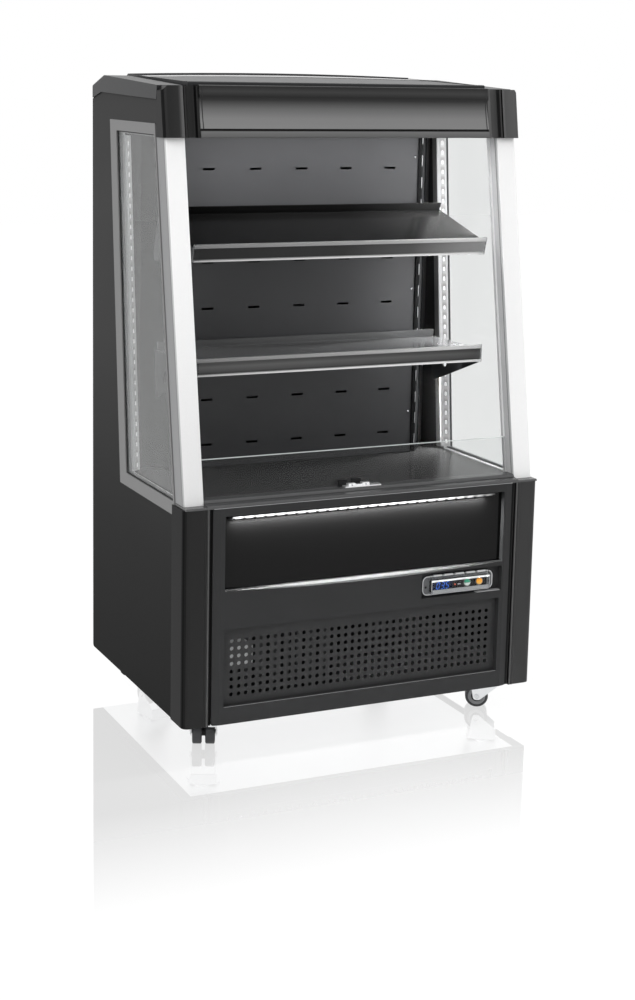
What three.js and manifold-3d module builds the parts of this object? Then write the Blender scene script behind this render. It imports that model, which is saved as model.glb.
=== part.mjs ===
// Open multideck display fridge: a floor-standing chilled cabinet on twin-wheel castors, open at the
// front, with glazed sides, leaning aluminium pillars, two tilting shelves and the refrigerating set below.
// Millimetres. Origin on the floor under the middle of the cabinet. X to the right, Y to the back, Z up.
import * as THREE from "three";
import { mergeGeometries, mergeVertices } from "three/addons/utils/BufferGeometryUtils.js";
import Module from "manifold-3d";

const wasm = await Module();
wasm.setup();

// ---------------------------------------------------------------- driving dimensions
const clearance = 0.3; // between pieces that rest on or pass each other

// Cabinet
const cabinetWidth = 810; // over the corner posts
const cabinetDepth = 568.6; // front of the base to the rear edge of the side panels
const floorGap = 75; // floor to the underside of the cabinet
const skinInset = 3; // side panels stand this far inside the posts and caps
const panelThickness = 22; // insulated side panel
const rearWall = 26; // insulated rear panel
const yFront = -cabinetDepth / 2;
const yRear = cabinetDepth / 2;
const xPost = cabinetWidth / 2;
const xSkin = xPost - skinInset;
const xInner = xSkin - panelThickness;

// Base
const baseTop = 521.6; // top of the front panel and the corner posts
const postReturn = 70; // side return of a corner post
const postFace = 61; // width of its face
const postInner = xPost - postFace; // half the distance between the corner posts
const postCorner = 14; // rounded outside corner
const panelGap = 1; // front panel to each corner post
const frontFace = 14; // depth of the recesses in the front panel
const frontBack = 4; // web behind the recesses
const recessHalf = postInner - 26; // half the width of the recesses
const upperRecess = [baseTop - 168.6, baseTop - 16.6]; // lower and upper edge
const grilleRecess = [floorGap + 36, baseTop - 248.1];
const controlLow = baseTop - 231.6; // lower edge of the recess for the control unit
const recessRight = recessHalf + 5; // the upper recess and the control recess reach further on the right
const controlRecess = [recessRight - 194, recessRight, controlLow, controlLow + 54]; // left, right, lower, upper
const scoopSag = 9; // the lower edge of the upper recess is scooped out by this much in its middle

// Grille
const holePitch = 16;
const holeRadius = 4.2;
const holeSides = 4; // each hole is drawn with the area of its circle
const holeColumns = Math.floor((2 * recessHalf - 28) / holePitch);
const holeRows = Math.floor((grilleRecess[1] - grilleRecess[0] - 30) / holePitch);
const sheet = 1.5; // perforated and folded sheet metal

// Display section
const lean = 0.1638; // pillars and header lean back by this much for each mm of height
const headerTop = 1345;
const headerHeight = 103;
const headerFoot = headerTop - headerHeight;
const pillarFoot = baseTop + 4.9; // where the pillars stand
const pillarTop = headerFoot; // where they meet the header
const pillarFrontFoot = yFront + 19.3; // front face of a pillar at its foot
const pillarOut = xPost - 4.5; // outer side of a pillar
const pillarWidth = 44;
const pillarDepth = 44;
const windowSetback = 183.6; // rear edge of the cabinet to the foot of the window frame
const windowRearFoot = [yRear - windowSetback, baseTop - 22.1]; // outer corners of the window frame, [y, z]
const windowRearTop = [windowRearFoot[0] + 69.3, headerFoot + 31.5];
const windowFrontTop = headerFoot + 27;
const frameRear = 40; // visible width of the frame's members
const frameTop = 22;
const frameFoot = 28;
const frameFront = 7;
const glazing = 14; // double glazed unit
const ledSize = 16; // corner light channel beside the rear member
const ledSeat = 3.5; // how far it sits into the frame
const deckLevel = baseTop + 4.4; // top of the deck tray
const wallFront = windowRearFoot[0] - 35.3; // front of the perforated back wall
const wallHalf = xInner - 82; // half its width, to the fold of its wings
const slotPitchX = wallHalf / 2.75;
const slotTop = headerFoot - 71; // uppermost row of air slots
const slotPitchZ = 99.3;
const slotSize = [27.5, 5];

// Shelves: the same shelf twice, each on two brackets that tilt about their hooks
const shelfHalf = xInner - 47.5;
const shelfReach = 206; // hook axis to the front of the plate
const shelfRise = 42; // hook axis up to the plate
const shelfLip = 16; // rear upstand
const shelfHem = 10; // folded edge of the upstand
const shelfBack = 8; // hook axis to the rear of the plate
const plate = 1.5; // shelf sheet
const bracketDrop = 59; // hook axis down to the rear corner of the bracket
const bracketNose = 10; // hook axis up to its front lower corner
const bracketSheet = 2.5;
const lowerHook = 750; // height of the lower shelf's hook axis
const hookPitch = 48.5; // pitch of the slots in the uprights
const hookSteps = 6; // slots between the two shelves
const upperTilt = 16; // degrees, front down
const railHeight = 36.5;
const railOver = 7.5; // top of the label rail over the plate
const railThickness = 6;
const slotHeight = 25;
const slotWidth = 4;
const uprightDepth = 5;
const uprightWidth = 9;

// Front glass
const glassFoot = baseTop + 8.4;
const glassTop = glassFoot + 79;
const glassThickness = 5;
const glassSetback = 29; // behind the front of the pillars

// Header and roof
const headerFront = pillarFrontFoot + lean * (pillarTop - pillarFoot) - 18.2; // front of the header at its foot
const capInner = xPost - 76.5; // half the width of the fascia
const capReturn = headerFront + 51; // rear edge of the end cap's side
const roofFront = headerFront + 48;
const roofRear = yRear - 7.8;
const roofModule = xPost - 65; // half the width of the raised middle
const roofFrontTop = headerTop + 6.5;
const roofRearTop = headerTop + 25;
const roofCrown = 6; // rise of the middle over its edges
const panelTopFront = headerTop - 29; // top edge of the side panel at the header
const panelTopRear = headerTop - 15; // and at the rear
const ceiling = headerTop - 67;
const ceilingFront = headerFront + 66; // front edge of the ceiling slab
const fasciaWall = 14;
const capCorner = 14; // rounded outside corner of an end cap

// Machine space
const tubFloor = baseTop - 81.6; // underside of the insulated tub
const tubWall = 26;
const panLip = 28;
const rearSplit = tubFloor - 6; // between the louvred cover and the insulated rear panel
const condenserBox = [105 - xPost, 365 - xPost, floorGap + 25, floorGap + 225]; // left, right, foot, top
const condenserDepth = [yFront + 62.3, yFront + 106.3];
const finPitch = 13;
const fanRadius = 88;
const fanGap = 4; // blade tips to the bore of the shroud
const fanHub = 24;
const compressorAt = [155, 40];
const compressorRadius = 84;
const compressorHeight = 196;
const coilBox = [150 - xPost, xPost - 150, baseTop + 78.4, baseTop + 308.4]; // evaporator: left, right, foot, top
const coilDepth = [yRear - 179.3, yRear - 69.3];
const coilFanRadius = 66;
const glandAt = [105 - xPost, floorGap + 37]; // x, z of the cord gland
const glandBore = 4;

// Castors
const wheelRadius = 25;
const wheelWidth = 20;
const wheelSpread = 47; // over both wheels
const trail = 16; // swivel axis to axle
const plateSize = 56;
const crownHeight = 68; // underside of the fork's crown
const forkSheet = 2.2;
const castors = {
  // swivel axis x, y, and the turn of the fork about it in degrees
  front_left: [80.5 - xPost, yFront + 87.3, -22],
  front_right: [xPost - 56, yFront + 94.3, 60],
  rear_left: [120 - xPost, yRear - 94.3, 12],
  rear_right: [xPost - 120, yRear - 94.3, -14],
};

// ---------------------------------------------------------------- derived levels
const yWeb = yFront + frontFace;
const yBehind = yWeb + frontBack;
const pillarFront = (z) => pillarFrontFoot + lean * (z - pillarFoot);
const pillarRear = (z) => pillarFront(z) + pillarDepth;
const panelKnee = yRear - 64; // the panel's top edge falls away behind this
const panelTop = (y) =>
  y > panelKnee
    ? panelTopRear - (14 * (y - panelKnee)) / (yRear - panelKnee)
    : panelTopFront + ((panelTopRear - panelTopFront) * (y - capReturn)) / (panelKnee - capReturn);
const hookAxisY = wallFront - clearance - uprightDepth / 2;
const capEdge = (z) => capReturn - (3 * (z - headerFoot)) / (headerTop - headerFoot);
const headerFace = (z) => headerFront + lean * (z - headerFoot);

// ---------------------------------------------------------------- geometry helpers
const V2 = (a, b) => new THREE.Vector2(a, b);
const rad = THREE.MathUtils.degToRad;

// A closed outline from [a, b, radius] corners, each radius rounding its corner.
function outline(corners, steps = 3) {
  const n = corners.length;
  return corners.flatMap(([a, b, r = 0], i) => {
    const p = V2(a, b);
    if (!r) return [p];
    const at = (k) => V2(corners[k][0], corners[k][1]);
    const back = at((i + n - 1) % n).sub(p).normalize();
    const on = at((i + 1) % n).sub(p).normalize();
    const half = Math.acos(back.dot(on)) / 2;
    const centre = p.clone().add(back.clone().add(on).normalize().multiplyScalar(r / Math.sin(half)));
    const from = p.clone().add(back.multiplyScalar(r / Math.tan(half))).sub(centre);
    const to = p.clone().add(on.multiplyScalar(r / Math.tan(half))).sub(centre);
    let turn = to.angle() - from.angle();
    if (turn > Math.PI) turn -= 2 * Math.PI;
    if (turn < -Math.PI) turn += 2 * Math.PI;
    return Array.from({ length: steps + 1 }, (_, k) =>
      centre.clone().add(from.clone().rotateAround(V2(0, 0), (turn * k) / steps)),
    );
  });
}
const box2 = (a0, a1, b0, b1, r = 0) => [[a0, b0, r], [a1, b0, r], [a1, b1, r], [a0, b1, r]];
const ngon = (a, b, r, n = 6, turn = 0) =>
  Array.from({ length: n }, (_, k) => {
    const t = turn + (2 * Math.PI * (k + 0.5)) / n;
    return [a + r * Math.cos(t), b + r * Math.sin(t)];
  });

// A prism of an outline, with the prisms of its separate holes cut out of it.
function extrude(corners, length, holes, steps) {
  const prism = (points, depth) =>
    new THREE.ExtrudeGeometry(new THREE.Shape(outline(points, steps)), { depth, bevelEnabled: false });
  const body = prism(corners, length);
  if (!holes.length) return body;
  return cut(body, mergeGeometries(holes.map((h) => prism(h, length + 2).translate(0, 0, -1))));
}
const basis = (x, y, z, at) => new THREE.Matrix4().makeBasis(x, y, z).setPosition(at);
const X = new THREE.Vector3(1, 0, 0);
const Y = new THREE.Vector3(0, 1, 0);
const Z = new THREE.Vector3(0, 0, 1);
// Prisms: an outline in [y, z], [x, z] or [x, y] drawn along the axis that is left.
const alongX = (corners, x0, x1, holes = [], steps = 3) =>
  extrude(corners, x1 - x0, holes, steps).applyMatrix4(basis(Y, Z, X, new THREE.Vector3(x0, 0, 0)));
const alongY = (corners, y0, y1, holes = [], steps = 3) =>
  extrude(corners, y1 - y0, holes, steps).applyMatrix4(
    basis(X, Z, Y.clone().negate(), new THREE.Vector3(0, y1, 0)),
  );
const alongZ = (corners, z0, z1, holes = [], steps = 3) =>
  extrude(corners, z1 - z0, holes, steps).translate(0, 0, z0);
const block = (x0, x1, y0, y1, z0, z1) =>
  new THREE.BoxGeometry(x1 - x0, y1 - y0, z1 - z0).translate((x0 + x1) / 2, (y0 + y1) / 2, (z0 + z1) / 2);
const drum = (r, length, n = 12) => new THREE.CylinderGeometry(r, r, length, n);
// Leans a geometry back: y grows with the height over z.
const leaned = (geometry, z, rate = lean) =>
  geometry.applyMatrix4(new THREE.Matrix4().set(1, 0, 0, 0, 0, 1, rate, -rate * z, 0, 0, 1, 0, 0, 0, 0, 1));
const mirrored = (geometry) => {
  const solid = toSolid(geometry).mirror([1, 0, 0]);
  return toGeometry(solid);
};

function toSolid(geometry) {
  const bare = new THREE.BufferGeometry().setAttribute("position", geometry.getAttribute("position"));
  if (geometry.index) bare.setIndex(geometry.index);
  const merged = mergeVertices(bare.index ? bare.toNonIndexed() : bare, 1e-3);
  return new wasm.Manifold(
    new wasm.Mesh({
      numProp: 3,
      vertProperties: new Float32Array(merged.attributes.position.array),
      triVerts: new Uint32Array(merged.index.array),
    }),
  );
}
function toGeometry(solid) {
  const mesh = solid.getMesh();
  const flat = new Float32Array(mesh.numVert * 3);
  for (let i = 0; i < mesh.numVert; i++)
    flat.set(mesh.vertProperties.subarray(i * mesh.numProp, i * mesh.numProp + 3), 3 * i);
  const indexed = new THREE.BufferGeometry()
    .setAttribute("position", new THREE.BufferAttribute(flat, 3))
    .setIndex(new THREE.BufferAttribute(mesh.triVerts, 1));
  const geometry = indexed.toNonIndexed();
  geometry.computeVertexNormals();
  return geometry;
}
const join = (...pieces) =>
  toGeometry(pieces.map(toSolid).reduce((whole, piece) => whole.add(piece)));
const cut = (piece, ...tools) =>
  toGeometry(tools.map(toSolid).reduce((whole, tool) => whole.subtract(tool), toSolid(piece)));

// ---------------------------------------------------------------- materials
const finish = (color, roughness, metalness = 0, extra = {}) => () =>
  new THREE.MeshStandardMaterial({ color, roughness, metalness, ...extra });
const charcoal = finish(0x3c3d3f, 0.5);
const blackPlastic = finish(0x28292b, 0.4);
const glossBlack = finish(0x0c0c0e, 0.08);
const darkSheet = finish(0x2b2c2e, 0.45, 0.2);
const satinAluminium = finish(0xe6e8ea, 0.35, 0.6);
const anodised = finish(0x8f9295, 0.4, 0.7);
const galvanised = finish(0xa9adb0, 0.45, 0.8);
const clear = finish(0xdfe6e8, 0.05, 0, { transparent: true, opacity: 0.25 });
const lamp = finish(0xffffff, 0.4, 0, { emissive: 0xffffff });
const black = finish(0x151517, 0.6);
const copper = finish(0xb0704a, 0.35, 0.9);
const foamWhite = finish(0xd9dadb, 0.6);

const root = new THREE.Group();
function add(name, geometry, material, parent = root) {
  const mesh = new THREE.Mesh(geometry, material());
  mesh.name = name;
  parent.add(mesh);
  return mesh;
}
// The same piece on both sides: made on the right (+X) and mirrored to the left.
function addPair(name, geometry, material) {
  add(name + "_right", geometry, material);
  add(name + "_left", mirrored(geometry), material);
}

// ---------------------------------------------------------------- casing
// Outer edge of the window frame, [y, z], counter-clockwise seen from the right, grown by a margin.
function windowOutline(grow = 0) {
  const foot = windowRearFoot[1] - grow;
  const slope = (windowRearTop[0] - windowRearFoot[0]) / (windowRearTop[1] - windowRearFoot[1]);
  const top = (windowFrontTop - windowRearTop[1]) / (windowRearTop[0] - pillarRear(windowFrontTop));
  const rearAt = (z) => windowRearFoot[0] + slope * (z - windowRearFoot[1]) + grow;
  const frontAt = (z) => pillarRear(z) + clearance - grow;
  return {
    corners: [
      [frontAt(foot), foot],
      [rearAt(foot), foot],
      [rearAt(windowRearTop[1] + grow), windowRearTop[1] + grow],
      [frontAt(windowFrontTop), windowFrontTop + grow],
    ],
    rearAt, frontAt, slope, top,
  };
}
const frameEdge = windowOutline();

function sidePanel() {
  const gap = windowOutline(clearance);
  const [footFront, footRear, topRear, topFront] = gap.corners;
  const profile = [
    [yBehind + clearance, floorGap],
    [yRear, floorGap, 6],
    [yRear, panelTop(yRear)],
    [panelKnee, panelTop(panelKnee)],
    [capReturn + clearance, panelTop(capReturn)],
    [capReturn + clearance, topFront[1]],
    topRear,
    footRear,
    footFront,
    [footFront[0], baseTop],
    [yBehind + clearance, baseTop],
  ];
  return alongX(profile, xInner, xSkin);
}
addPair("side_panel", sidePanel(), charcoal);

// Corner post: a moulded L round the front edge of the base, with two beads beside the front panel.
function cornerPost() {
  const section = [
    [xPost, yFront + postReturn, 0.8],
    [xSkin + clearance, yFront + postReturn, 0.8],
    [xSkin + clearance, yBehind],
    [postInner, yBehind],
    [postInner, yFront + 6],
    [postInner + 6.5, yFront + 6],
    [postInner + 6.5, yFront, 0.8],
    [postInner + 11, yFront],
    [postInner + 11, yFront + 1.5],
    [postInner + 12.5, yFront + 1.5],
    [postInner + 12.5, yFront],
    [postInner + 16, yFront, 0.6],
    [postInner + 18, yFront + 1],
    [xPost, yFront + 1, postCorner],
  ];
  return alongZ(section.reverse(), floorGap, baseTop, [], 5);
}
addPair("corner_post", cornerPost(), blackPlastic);

// Pillar: leaning aluminium section with a glass groove and a gasket groove in its inner side.
function pillar() {
  const inner = pillarOut - pillarWidth;
  const front = pillarFrontFoot;
  const groove = front + glassSetback;
  const section = [
    [inner, front, 2],
    [pillarOut, front, 6],
    [pillarOut, front + pillarDepth, 2],
    [inner, front + pillarDepth, 2],
    [inner, groove + glassThickness + 1],
    [inner + 4, groove + glassThickness + 1],
    [inner + 4, groove - 1],
    [inner, groove - 1],
    [inner, front + 12],
    [inner + 3, front + 12],
    [inner + 3, front + 7],
    [inner, front + 7],
  ];
  return leaned(alongZ(section, pillarFoot, pillarTop), pillarFoot);
}
addPair("pillar", pillar(), satinAluminium);

// Side window: frame, double glazed unit and the light channel along its rear member.
const frameHole = (() => {
  const foot = windowRearFoot[1] + frameFoot;
  const topAt = (y) => windowFrontTop - frameTop + frameEdge.top * -(y - frameEdge.frontAt(windowFrontTop));
  const rearTop = windowRearTop[0] - frameRear;
  return [
    [frameEdge.frontAt(foot) + frameFront, foot, 3],
    [frameEdge.rearAt(foot) - frameRear, foot, 3],
    [rearTop, topAt(rearTop), 3],
    [frameEdge.frontAt(windowFrontTop - frameTop) + frameFront, windowFrontTop - frameTop, 3],
  ];
})();
function windowFrame() {
  const rebate = frameHole.map(([y, z], i) => [y + (i === 1 || i === 2 ? 5 : -3), z + (i > 1 ? 5 : -5)]);
  const ring = alongX(frameEdge.corners, xInner, xSkin, [frameHole], 2);
  return cut(ring, alongX(rebate, xInner + 4, xInner + 4 + glazing + 2 * clearance));
}
const glassEdge = frameHole.map(([y, z], i) => [
  y + (i === 1 || i === 2 ? 5 : -3) + (i === 1 || i === 2 ? -clearance : clearance),
  z + (i > 1 ? 5 - clearance : -5 + clearance),
]);
addPair("window_frame", windowFrame(), anodised);
addPair(
  "window_glass",
  alongX(glassEdge, xInner + 4 + clearance, xInner + 4 + clearance + glazing),
  clear,
);

function ledStrip() {
  const [, foot, top] = frameHole;
  const angle = Math.atan2(top[0] - foot[0], top[1] - foot[1]);
  const length = (top[1] - foot[1]) / Math.cos(angle) - 16;
  const w = ledSize;
  const section = [[0, 0], [-w, 0], [-w, -3], [-w + 1.5, -3], [-3, -w + 1.5], [-3, -w], [0, -w]].reverse();
  const strip = alongZ(section, 0, length).applyMatrix4(new THREE.Matrix4().makeRotationX(-angle));
  return strip.translate(xInner + ledSeat, foot[0] - 2 * clearance, foot[1] + 5);
}
addPair("led_strip", ledStrip(), lamp);

// Header: moulded fascia with a lower trim line, between two end caps that wrap over the side panels.
function headerFascia() {
  const f = headerFace;
  const wall = fasciaWall;
  const trim = headerFoot + 14; // shadow line over the lower trim
  const brow = headerTop - 23; // lower edge of the band along the top
  const profile = [
    [f(headerFoot) + 1, headerFoot, 2],
    [f(trim) + 1, trim, 1.5],
    [f(trim) + 5, trim],
    [f(trim + 3) + 5, trim + 3],
    [f(trim + 3) + 2, trim + 3, 1],
    [f(trim + 19) + 3.5, trim + 19],
    [f(brow - 22) + 5, brow - 22],
    [f(brow - 6) + 4, brow - 6, 1],
    [f(brow), brow, 2],
    [f(headerTop), headerTop, 4],
    [roofFront - clearance, headerTop],
    [roofFront - clearance, headerTop - 4],
    [f(headerTop) + wall, headerTop - 4],
    [f(headerFoot) + wall, headerFoot],
  ];
  return alongX([...profile].reverse(), -capInner + clearance, capInner - clearance);
}
add("header_fascia", headerFascia(), blackPlastic);

function headerCap() {
  const f = headerFront;
  const rear = f + 40;
  const section = [
    [capInner, f + 3.5],
    [capInner + 6, f + 2, 0.8],
    [capInner + 9, f + 10, 4],
    [capInner + 24, f + 10, 5],
    [capInner + 29, f + 2, 0.8],
    [capInner + 32, f + 2],
    [capInner + 32, f + 5],
    [capInner + 34.5, f + 5],
    [capInner + 34.5, f, 0.8],
    [capInner + 38, f],
    [capInner + 40, f + 1],
    [xPost, f + 1, capCorner],
    [xPost, rear],
    [capInner, rear],
  ];
  const front = leaned(alongZ(section, headerFoot, headerTop - 2, [], 4), headerFoot);
  const cheek = alongX(
    [
      [headerFace(headerFoot) + 12, headerFoot],
      [capEdge(headerFoot), headerFoot],
      [capEdge(headerTop - 2), headerTop - 2],
      [headerFace(headerTop) + 12, headerTop - 2],
    ],
    xSkin + clearance, xPost,
  );
  const behind = block(0, xPost + 10, roofFront - clearance, 0, headerFoot - 50, headerTop + 50);
  const corner = alongY([[xPost + 5, headerTop - 17], [xPost + 5, headerTop + 5], [xPost - 17, headerTop + 5]],
    headerFront - 50, capReturn + 50);
  return cut(join(cut(front, behind), cheek), corner);
}
addPair("header_cap", headerCap(), blackPlastic);

// Air outlet: a honeycomb strip, drawn as a row of cells, under the ceiling behind the fascia.
function honeycomb() {
  const y0 = headerFace(ceiling) + fasciaWall + clearance;
  const y1 = ceilingFront - clearance;
  const half = capInner - 20;
  const cells = Math.floor((2 * half - 8) / ((y1 - y0) * Math.cos(Math.PI / 6)));
  const step = (2 * half - 8) / cells;
  const holes = Array.from({ length: cells }, (_, i) =>
    ngon(-half + 4 + step * (i + 0.5), (y0 + y1) / 2, (y1 - y0) / 2 - 3, 6, Math.PI / 6),
  );
  return alongZ(box2(-half, half, y0, y1), ceiling - 13, ceiling - 1, holes);
}

// Roof: a cover with trims over the side panels and a crowned middle, and the ceiling slab below it.
function roof() {
  const trimOuter = xPost;
  const rimInner = roofModule + 12;
  const seat = (y) => [y, panelTop(y) + clearance];
  const trim = alongX(
    [
      seat(capReturn + clearance),
      seat(panelKnee),
      seat(roofRear),
      [roofRear, panelTopRear + 14, 5],
      [roofRear - 77, roofRearTop - 4.5, 8],
      [capEdge(headerTop) + clearance, headerTop - 1, 2],
    ],
    rimInner, trimOuter,
  );
  const slab = alongX(
    [
      [ceilingFront, ceiling],
      [yRear - rearWall - clearance, ceiling],
      [yRear - rearWall - clearance, panelTopRear + 6],
      [roofFront, panelTopFront + 6],
      [roofFront, ceiling + 22],
    ],
    -xInner + clearance, xInner - clearance,
  );
  const stations = 8;
  const lid = alongX(
    [
      [roofFront, panelTopFront],
      [roofRear, panelTopFront],
      [roofRear, panelTopRear + 14],
      [roofRear - 46, roofRearTop, 6],
      [roofRear - 60, roofRearTop],
      [roofRear - 62, roofRearTop - 3],
      [roofFront + 12, roofFrontTop - 1],
      [roofFront + 10, roofFrontTop + 1],
      [roofFront, roofFrontTop, 3],
    ],
    -roofModule, roofModule,
  );
  return join(slab, crowned(lid, stations), trim, mirrored(trim));
}
// Cuts a prism into stations along X and lifts them into a shallow arch that grows to the rear.
function crowned(geometry, stations) {
  const solid = toSolid(geometry);
  const slices = Array.from({ length: stations }, (_, i) => {
    const x0 = -roofModule + (2 * roofModule * i) / stations;
    const x1 = -roofModule + (2 * roofModule * (i + 1)) / stations;
    const slice = solid.intersect(toSolid(block(x0, x1, -cabinetDepth, cabinetDepth, 0, 2 * headerTop)));
    const rise = (x) => roofCrown * (1 - (x / roofModule) ** 2);
    return slice.warp((v) => {
      if (v[2] < panelTopRear + 1) return;
      const t = (v[1] - roofFront) / (roofRear - roofFront);
      v[2] += rise(v[0]) * t;
    });
  });
  return toGeometry(slices.reduce((a, b) => a.add(b)));
}
add("roof_panel", roof(), charcoal);
add("air_honeycomb", honeycomb(), blackPlastic);

// Rear: an insulated wall over a louvred cover for the machine space.
function rearPanel() {
  const y0 = yRear - rearWall;
  const ribs = [-0.5, 0, 0.5].map((k) =>
    alongZ([[k * xInner - 9, yRear - 4], [k * xInner - 5, yRear - 1], [k * xInner + 5, yRear - 1],
      [k * xInner + 9, yRear - 4]], rearSplit + 40, ceiling - 40));
  return join(
    block(-xInner + clearance, xInner - clearance, y0, yRear - 4, rearSplit + clearance, panelTopFront - clearance),
    ...ribs,
  );
}
const glandNeck = glandBore + 4;
function rearCover() {
  const y1 = yRear - 4;
  const half = xInner - clearance;
  const louvres = [];
  for (let side = -1; side <= 1; side += 2)
    for (let row = 0; row < 5; row++) {
      const z = floorGap + 85 + row * 40;
      const x = side * 185;
      louvres.push(box2(x - 120, x + 120, z, z + 12));
    }
  const plate = alongY(box2(-half, half, floorGap + 2, rearSplit), y1 - sheet, y1, louvres);
  const hoods = louvres.map(([[x0, z0], , [x1, z1]]) =>
    alongX([[y1 - 0.5, z1], [y1 + 2.2, z0 + 0.5], [y1 + 2.2, z0 - 1], [y1 + 3.6, z0 - 1], [y1 + 3.6, z0 + 1], [y1, z1 + 2],
      [y1 - 0.5, z1 + 2]], x0 - 2, x1 + 2));
  const flange = [-1, 1].map((s) =>
    block(Math.min(s * half, s * (half - 12)), Math.max(s * half, s * (half - 12)), y1 - 12, y1 - sheet,
      floorGap + 2, rearSplit));
  const [x, z] = glandAt;
  const bore = alongY(ngon(x, z, glandNeck + clearance, 8), y1 - 5, y1 + 5);
  return cut(join(plate, ...hoods, ...flange), bore);
}
add("rear_panel", rearPanel(), charcoal);
add("rear_cover", rearCover(), darkSheet);

// ---------------------------------------------------------------- inside of the display section
// Perforated back wall with two wings that fold back to the windows.
function backWall() {
  const slots = [];
  for (let column = -2; column <= 2; column++)
    for (let row = 0; row < 7; row++) {
      const x = column * slotPitchX;
      const z = slotTop - row * slotPitchZ;
      slots.push(box2(x - slotSize[0] / 2, x + slotSize[0] / 2, z - slotSize[1] / 2, z + slotSize[1] / 2));
    }
  const top = ceiling - clearance;
  const foot = deckLevel + clearance;
  const wingEnd = xInner - clearance;
  const wingRear = windowRearTop[0] + 6; // the wings reach the side panels behind the window frames
  const wall = alongY(box2(-wallHalf, wallHalf, foot, top), wallFront, wallFront + sheet, slots);
  const wing = alongZ(
    [
      [wallHalf - 2, wallFront], [wallHalf, wallFront], [wingEnd, wingRear], [wingEnd, wingRear + 2 * sheet],
      [wallHalf - 2, wallFront + sheet],
    ],
    foot, top,
  );
  return join(wall, wing, mirrored(wing));
}
add("back_wall", backWall(), darkSheet);

// Slotted upright in front of each edge of the wall.
const uprightX = wallHalf - 6; // middle of the upright
function upright() {
  const slots = [];
  const half = slotWidth / 2;
  for (let k = -4; k <= 10; k++) {
    const z = lowerHook + k * hookPitch;
    slots.push(box2(uprightX - half, uprightX + half, z - slotHeight / 2, z + slotHeight / 2));
  }
  const edge = uprightWidth / 2;
  return alongY(
    box2(uprightX - edge, uprightX + edge, deckLevel + clearance, headerFoot + 20),
    wallFront - clearance - uprightDepth, wallFront - clearance, slots,
  );
}
addPair("shelf_upright", upright(), darkSheet);

// ---------------------------------------------------------------- shelves
// Each shelf is drawn level about its hook axis; its group carries the height and the tilt.
function shelfSheet() {
  const top = shelfRise;
  const front = -shelfReach;
  const profile = [
    [-shelfBack, top - plate], [-shelfBack, top + shelfLip], [-shelfBack - 2.6 * plate, top + shelfLip],
    [-shelfBack - 2.6 * plate, top + shelfLip - shelfHem], [-shelfBack - plate, top + shelfLip - shelfHem],
    [-shelfBack - plate, top],
    [front, top], [front, top - 20], [front + plate, top - 20], [front + plate, top - plate],
  ];
  const rib = (y) =>
    alongX([[y + 8, top - plate], [y + 5, top - 9], [y - 5, top - 9], [y - 8, top - plate]].reverse(),
      -shelfHalf + 40, shelfHalf - 40);
  return join(alongX(profile, -shelfHalf, shelfHalf), rib(-70), rib(-140));
}
function shelfBracket() {
  const inside = shelfHalf + clearance;
  const outside = inside + bracketSheet;
  const under = shelfRise - plate - clearance;
  const heel = -shelfBack - 2;
  const arm = alongX(
    [
      [-shelfReach + plate + clearance, under], [-shelfReach + plate + clearance, bracketNose, 3], [heel - 4, -bracketDrop, 6],
      [heel + 2, -bracketDrop + 8, 3], [heel + 4, 0], [heel + 4, under],
    ],
    inside, outside, [ngon(-62, -8, 13, 10)],
  );
  const seat = block(inside - 18, outside, -shelfReach + 12, heel + 4, under - 2, under);
  const tab = block(uprightX - 6, outside, heel + 2, heel + 4, -6, under);
  const hook = block(uprightX - slotWidth / 2 + clearance, uprightX + slotWidth / 2 - clearance, heel + 3, 1.2, -4, 4);
  return join(arm, seat, tab, hook);
}
// Label rail: an aluminium channel with a lip above and below the label, clipped to the shelf's front.
function priceRail() {
  const back = -shelfReach - clearance;
  const front = back - railThickness;
  const top = shelfRise + railOver;
  const foot = top - railHeight;
  const profile = [
    [back, foot], [back, top, 1.5], [front, top, 1.5], [front, top - 7], [front + 1.2, top - 8],
    [front + 3.5, top - 8], [front + 3.5, foot + 5], [front + 1.2, foot + 5], [front, foot + 4], [front, foot, 1],
  ];
  const half = shelfHalf + clearance + bracketSheet;
  return alongX(profile, -half, half);
}
function shelf(which, height, tilt) {
  const group = new THREE.Group();
  group.position.set(0, hookAxisY, height);
  group.rotation.x = rad(tilt);
  root.add(group);
  add("shelf_" + which, shelfSheet(), darkSheet, group);
  add("bracket_" + which + "_right", shelfBracket(), darkSheet, group);
  add("bracket_" + which + "_left", mirrored(shelfBracket()), darkSheet, group);
  add("price_rail_" + which, priceRail(), satinAluminium, group);
}
shelf("lower", lowerHook, 0);
shelf("upper", lowerHook + hookSteps * hookPitch, upperTilt);

// ---------------------------------------------------------------- deck and insulated tub
const xTub = xInner - clearance;
const glassLine = (z) => pillarFront(z) + glassSetback;
function deckTray() {
  const y0 = glassLine(deckLevel) + glassThickness + 10;
  const y1 = wallFront + 10;
  const z1 = deckLevel;
  const t = sheet;
  const profile = [
    [y0, baseTop + clearance], [y0 + t, baseTop + clearance], [y0 + t, z1 - t], [y1 - t, z1 - t],
    [y1 - t, baseTop + clearance], [y1, baseTop + clearance], [y1, z1], [y0, z1, 1.2],
  ];
  return alongX(profile, -xTub, xTub);
}
add("deck_tray", deckTray(), darkSheet);

function tub() {
  const y0 = yBehind + clearance;
  const y1 = yRear - rearWall - clearance;
  const ring = alongZ(box2(-xTub, xTub, y0, y1), tubFloor + tubWall, baseTop, [
    box2(-xTub + tubWall, xTub - tubWall, y0 + tubWall, y1 - tubWall, 12),
  ]);
  return join(ring, block(-xTub, xTub, y0, y1, tubFloor, tubFloor + tubWall));
}
add("insulated_tub", tub(), foamWhite);

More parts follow.
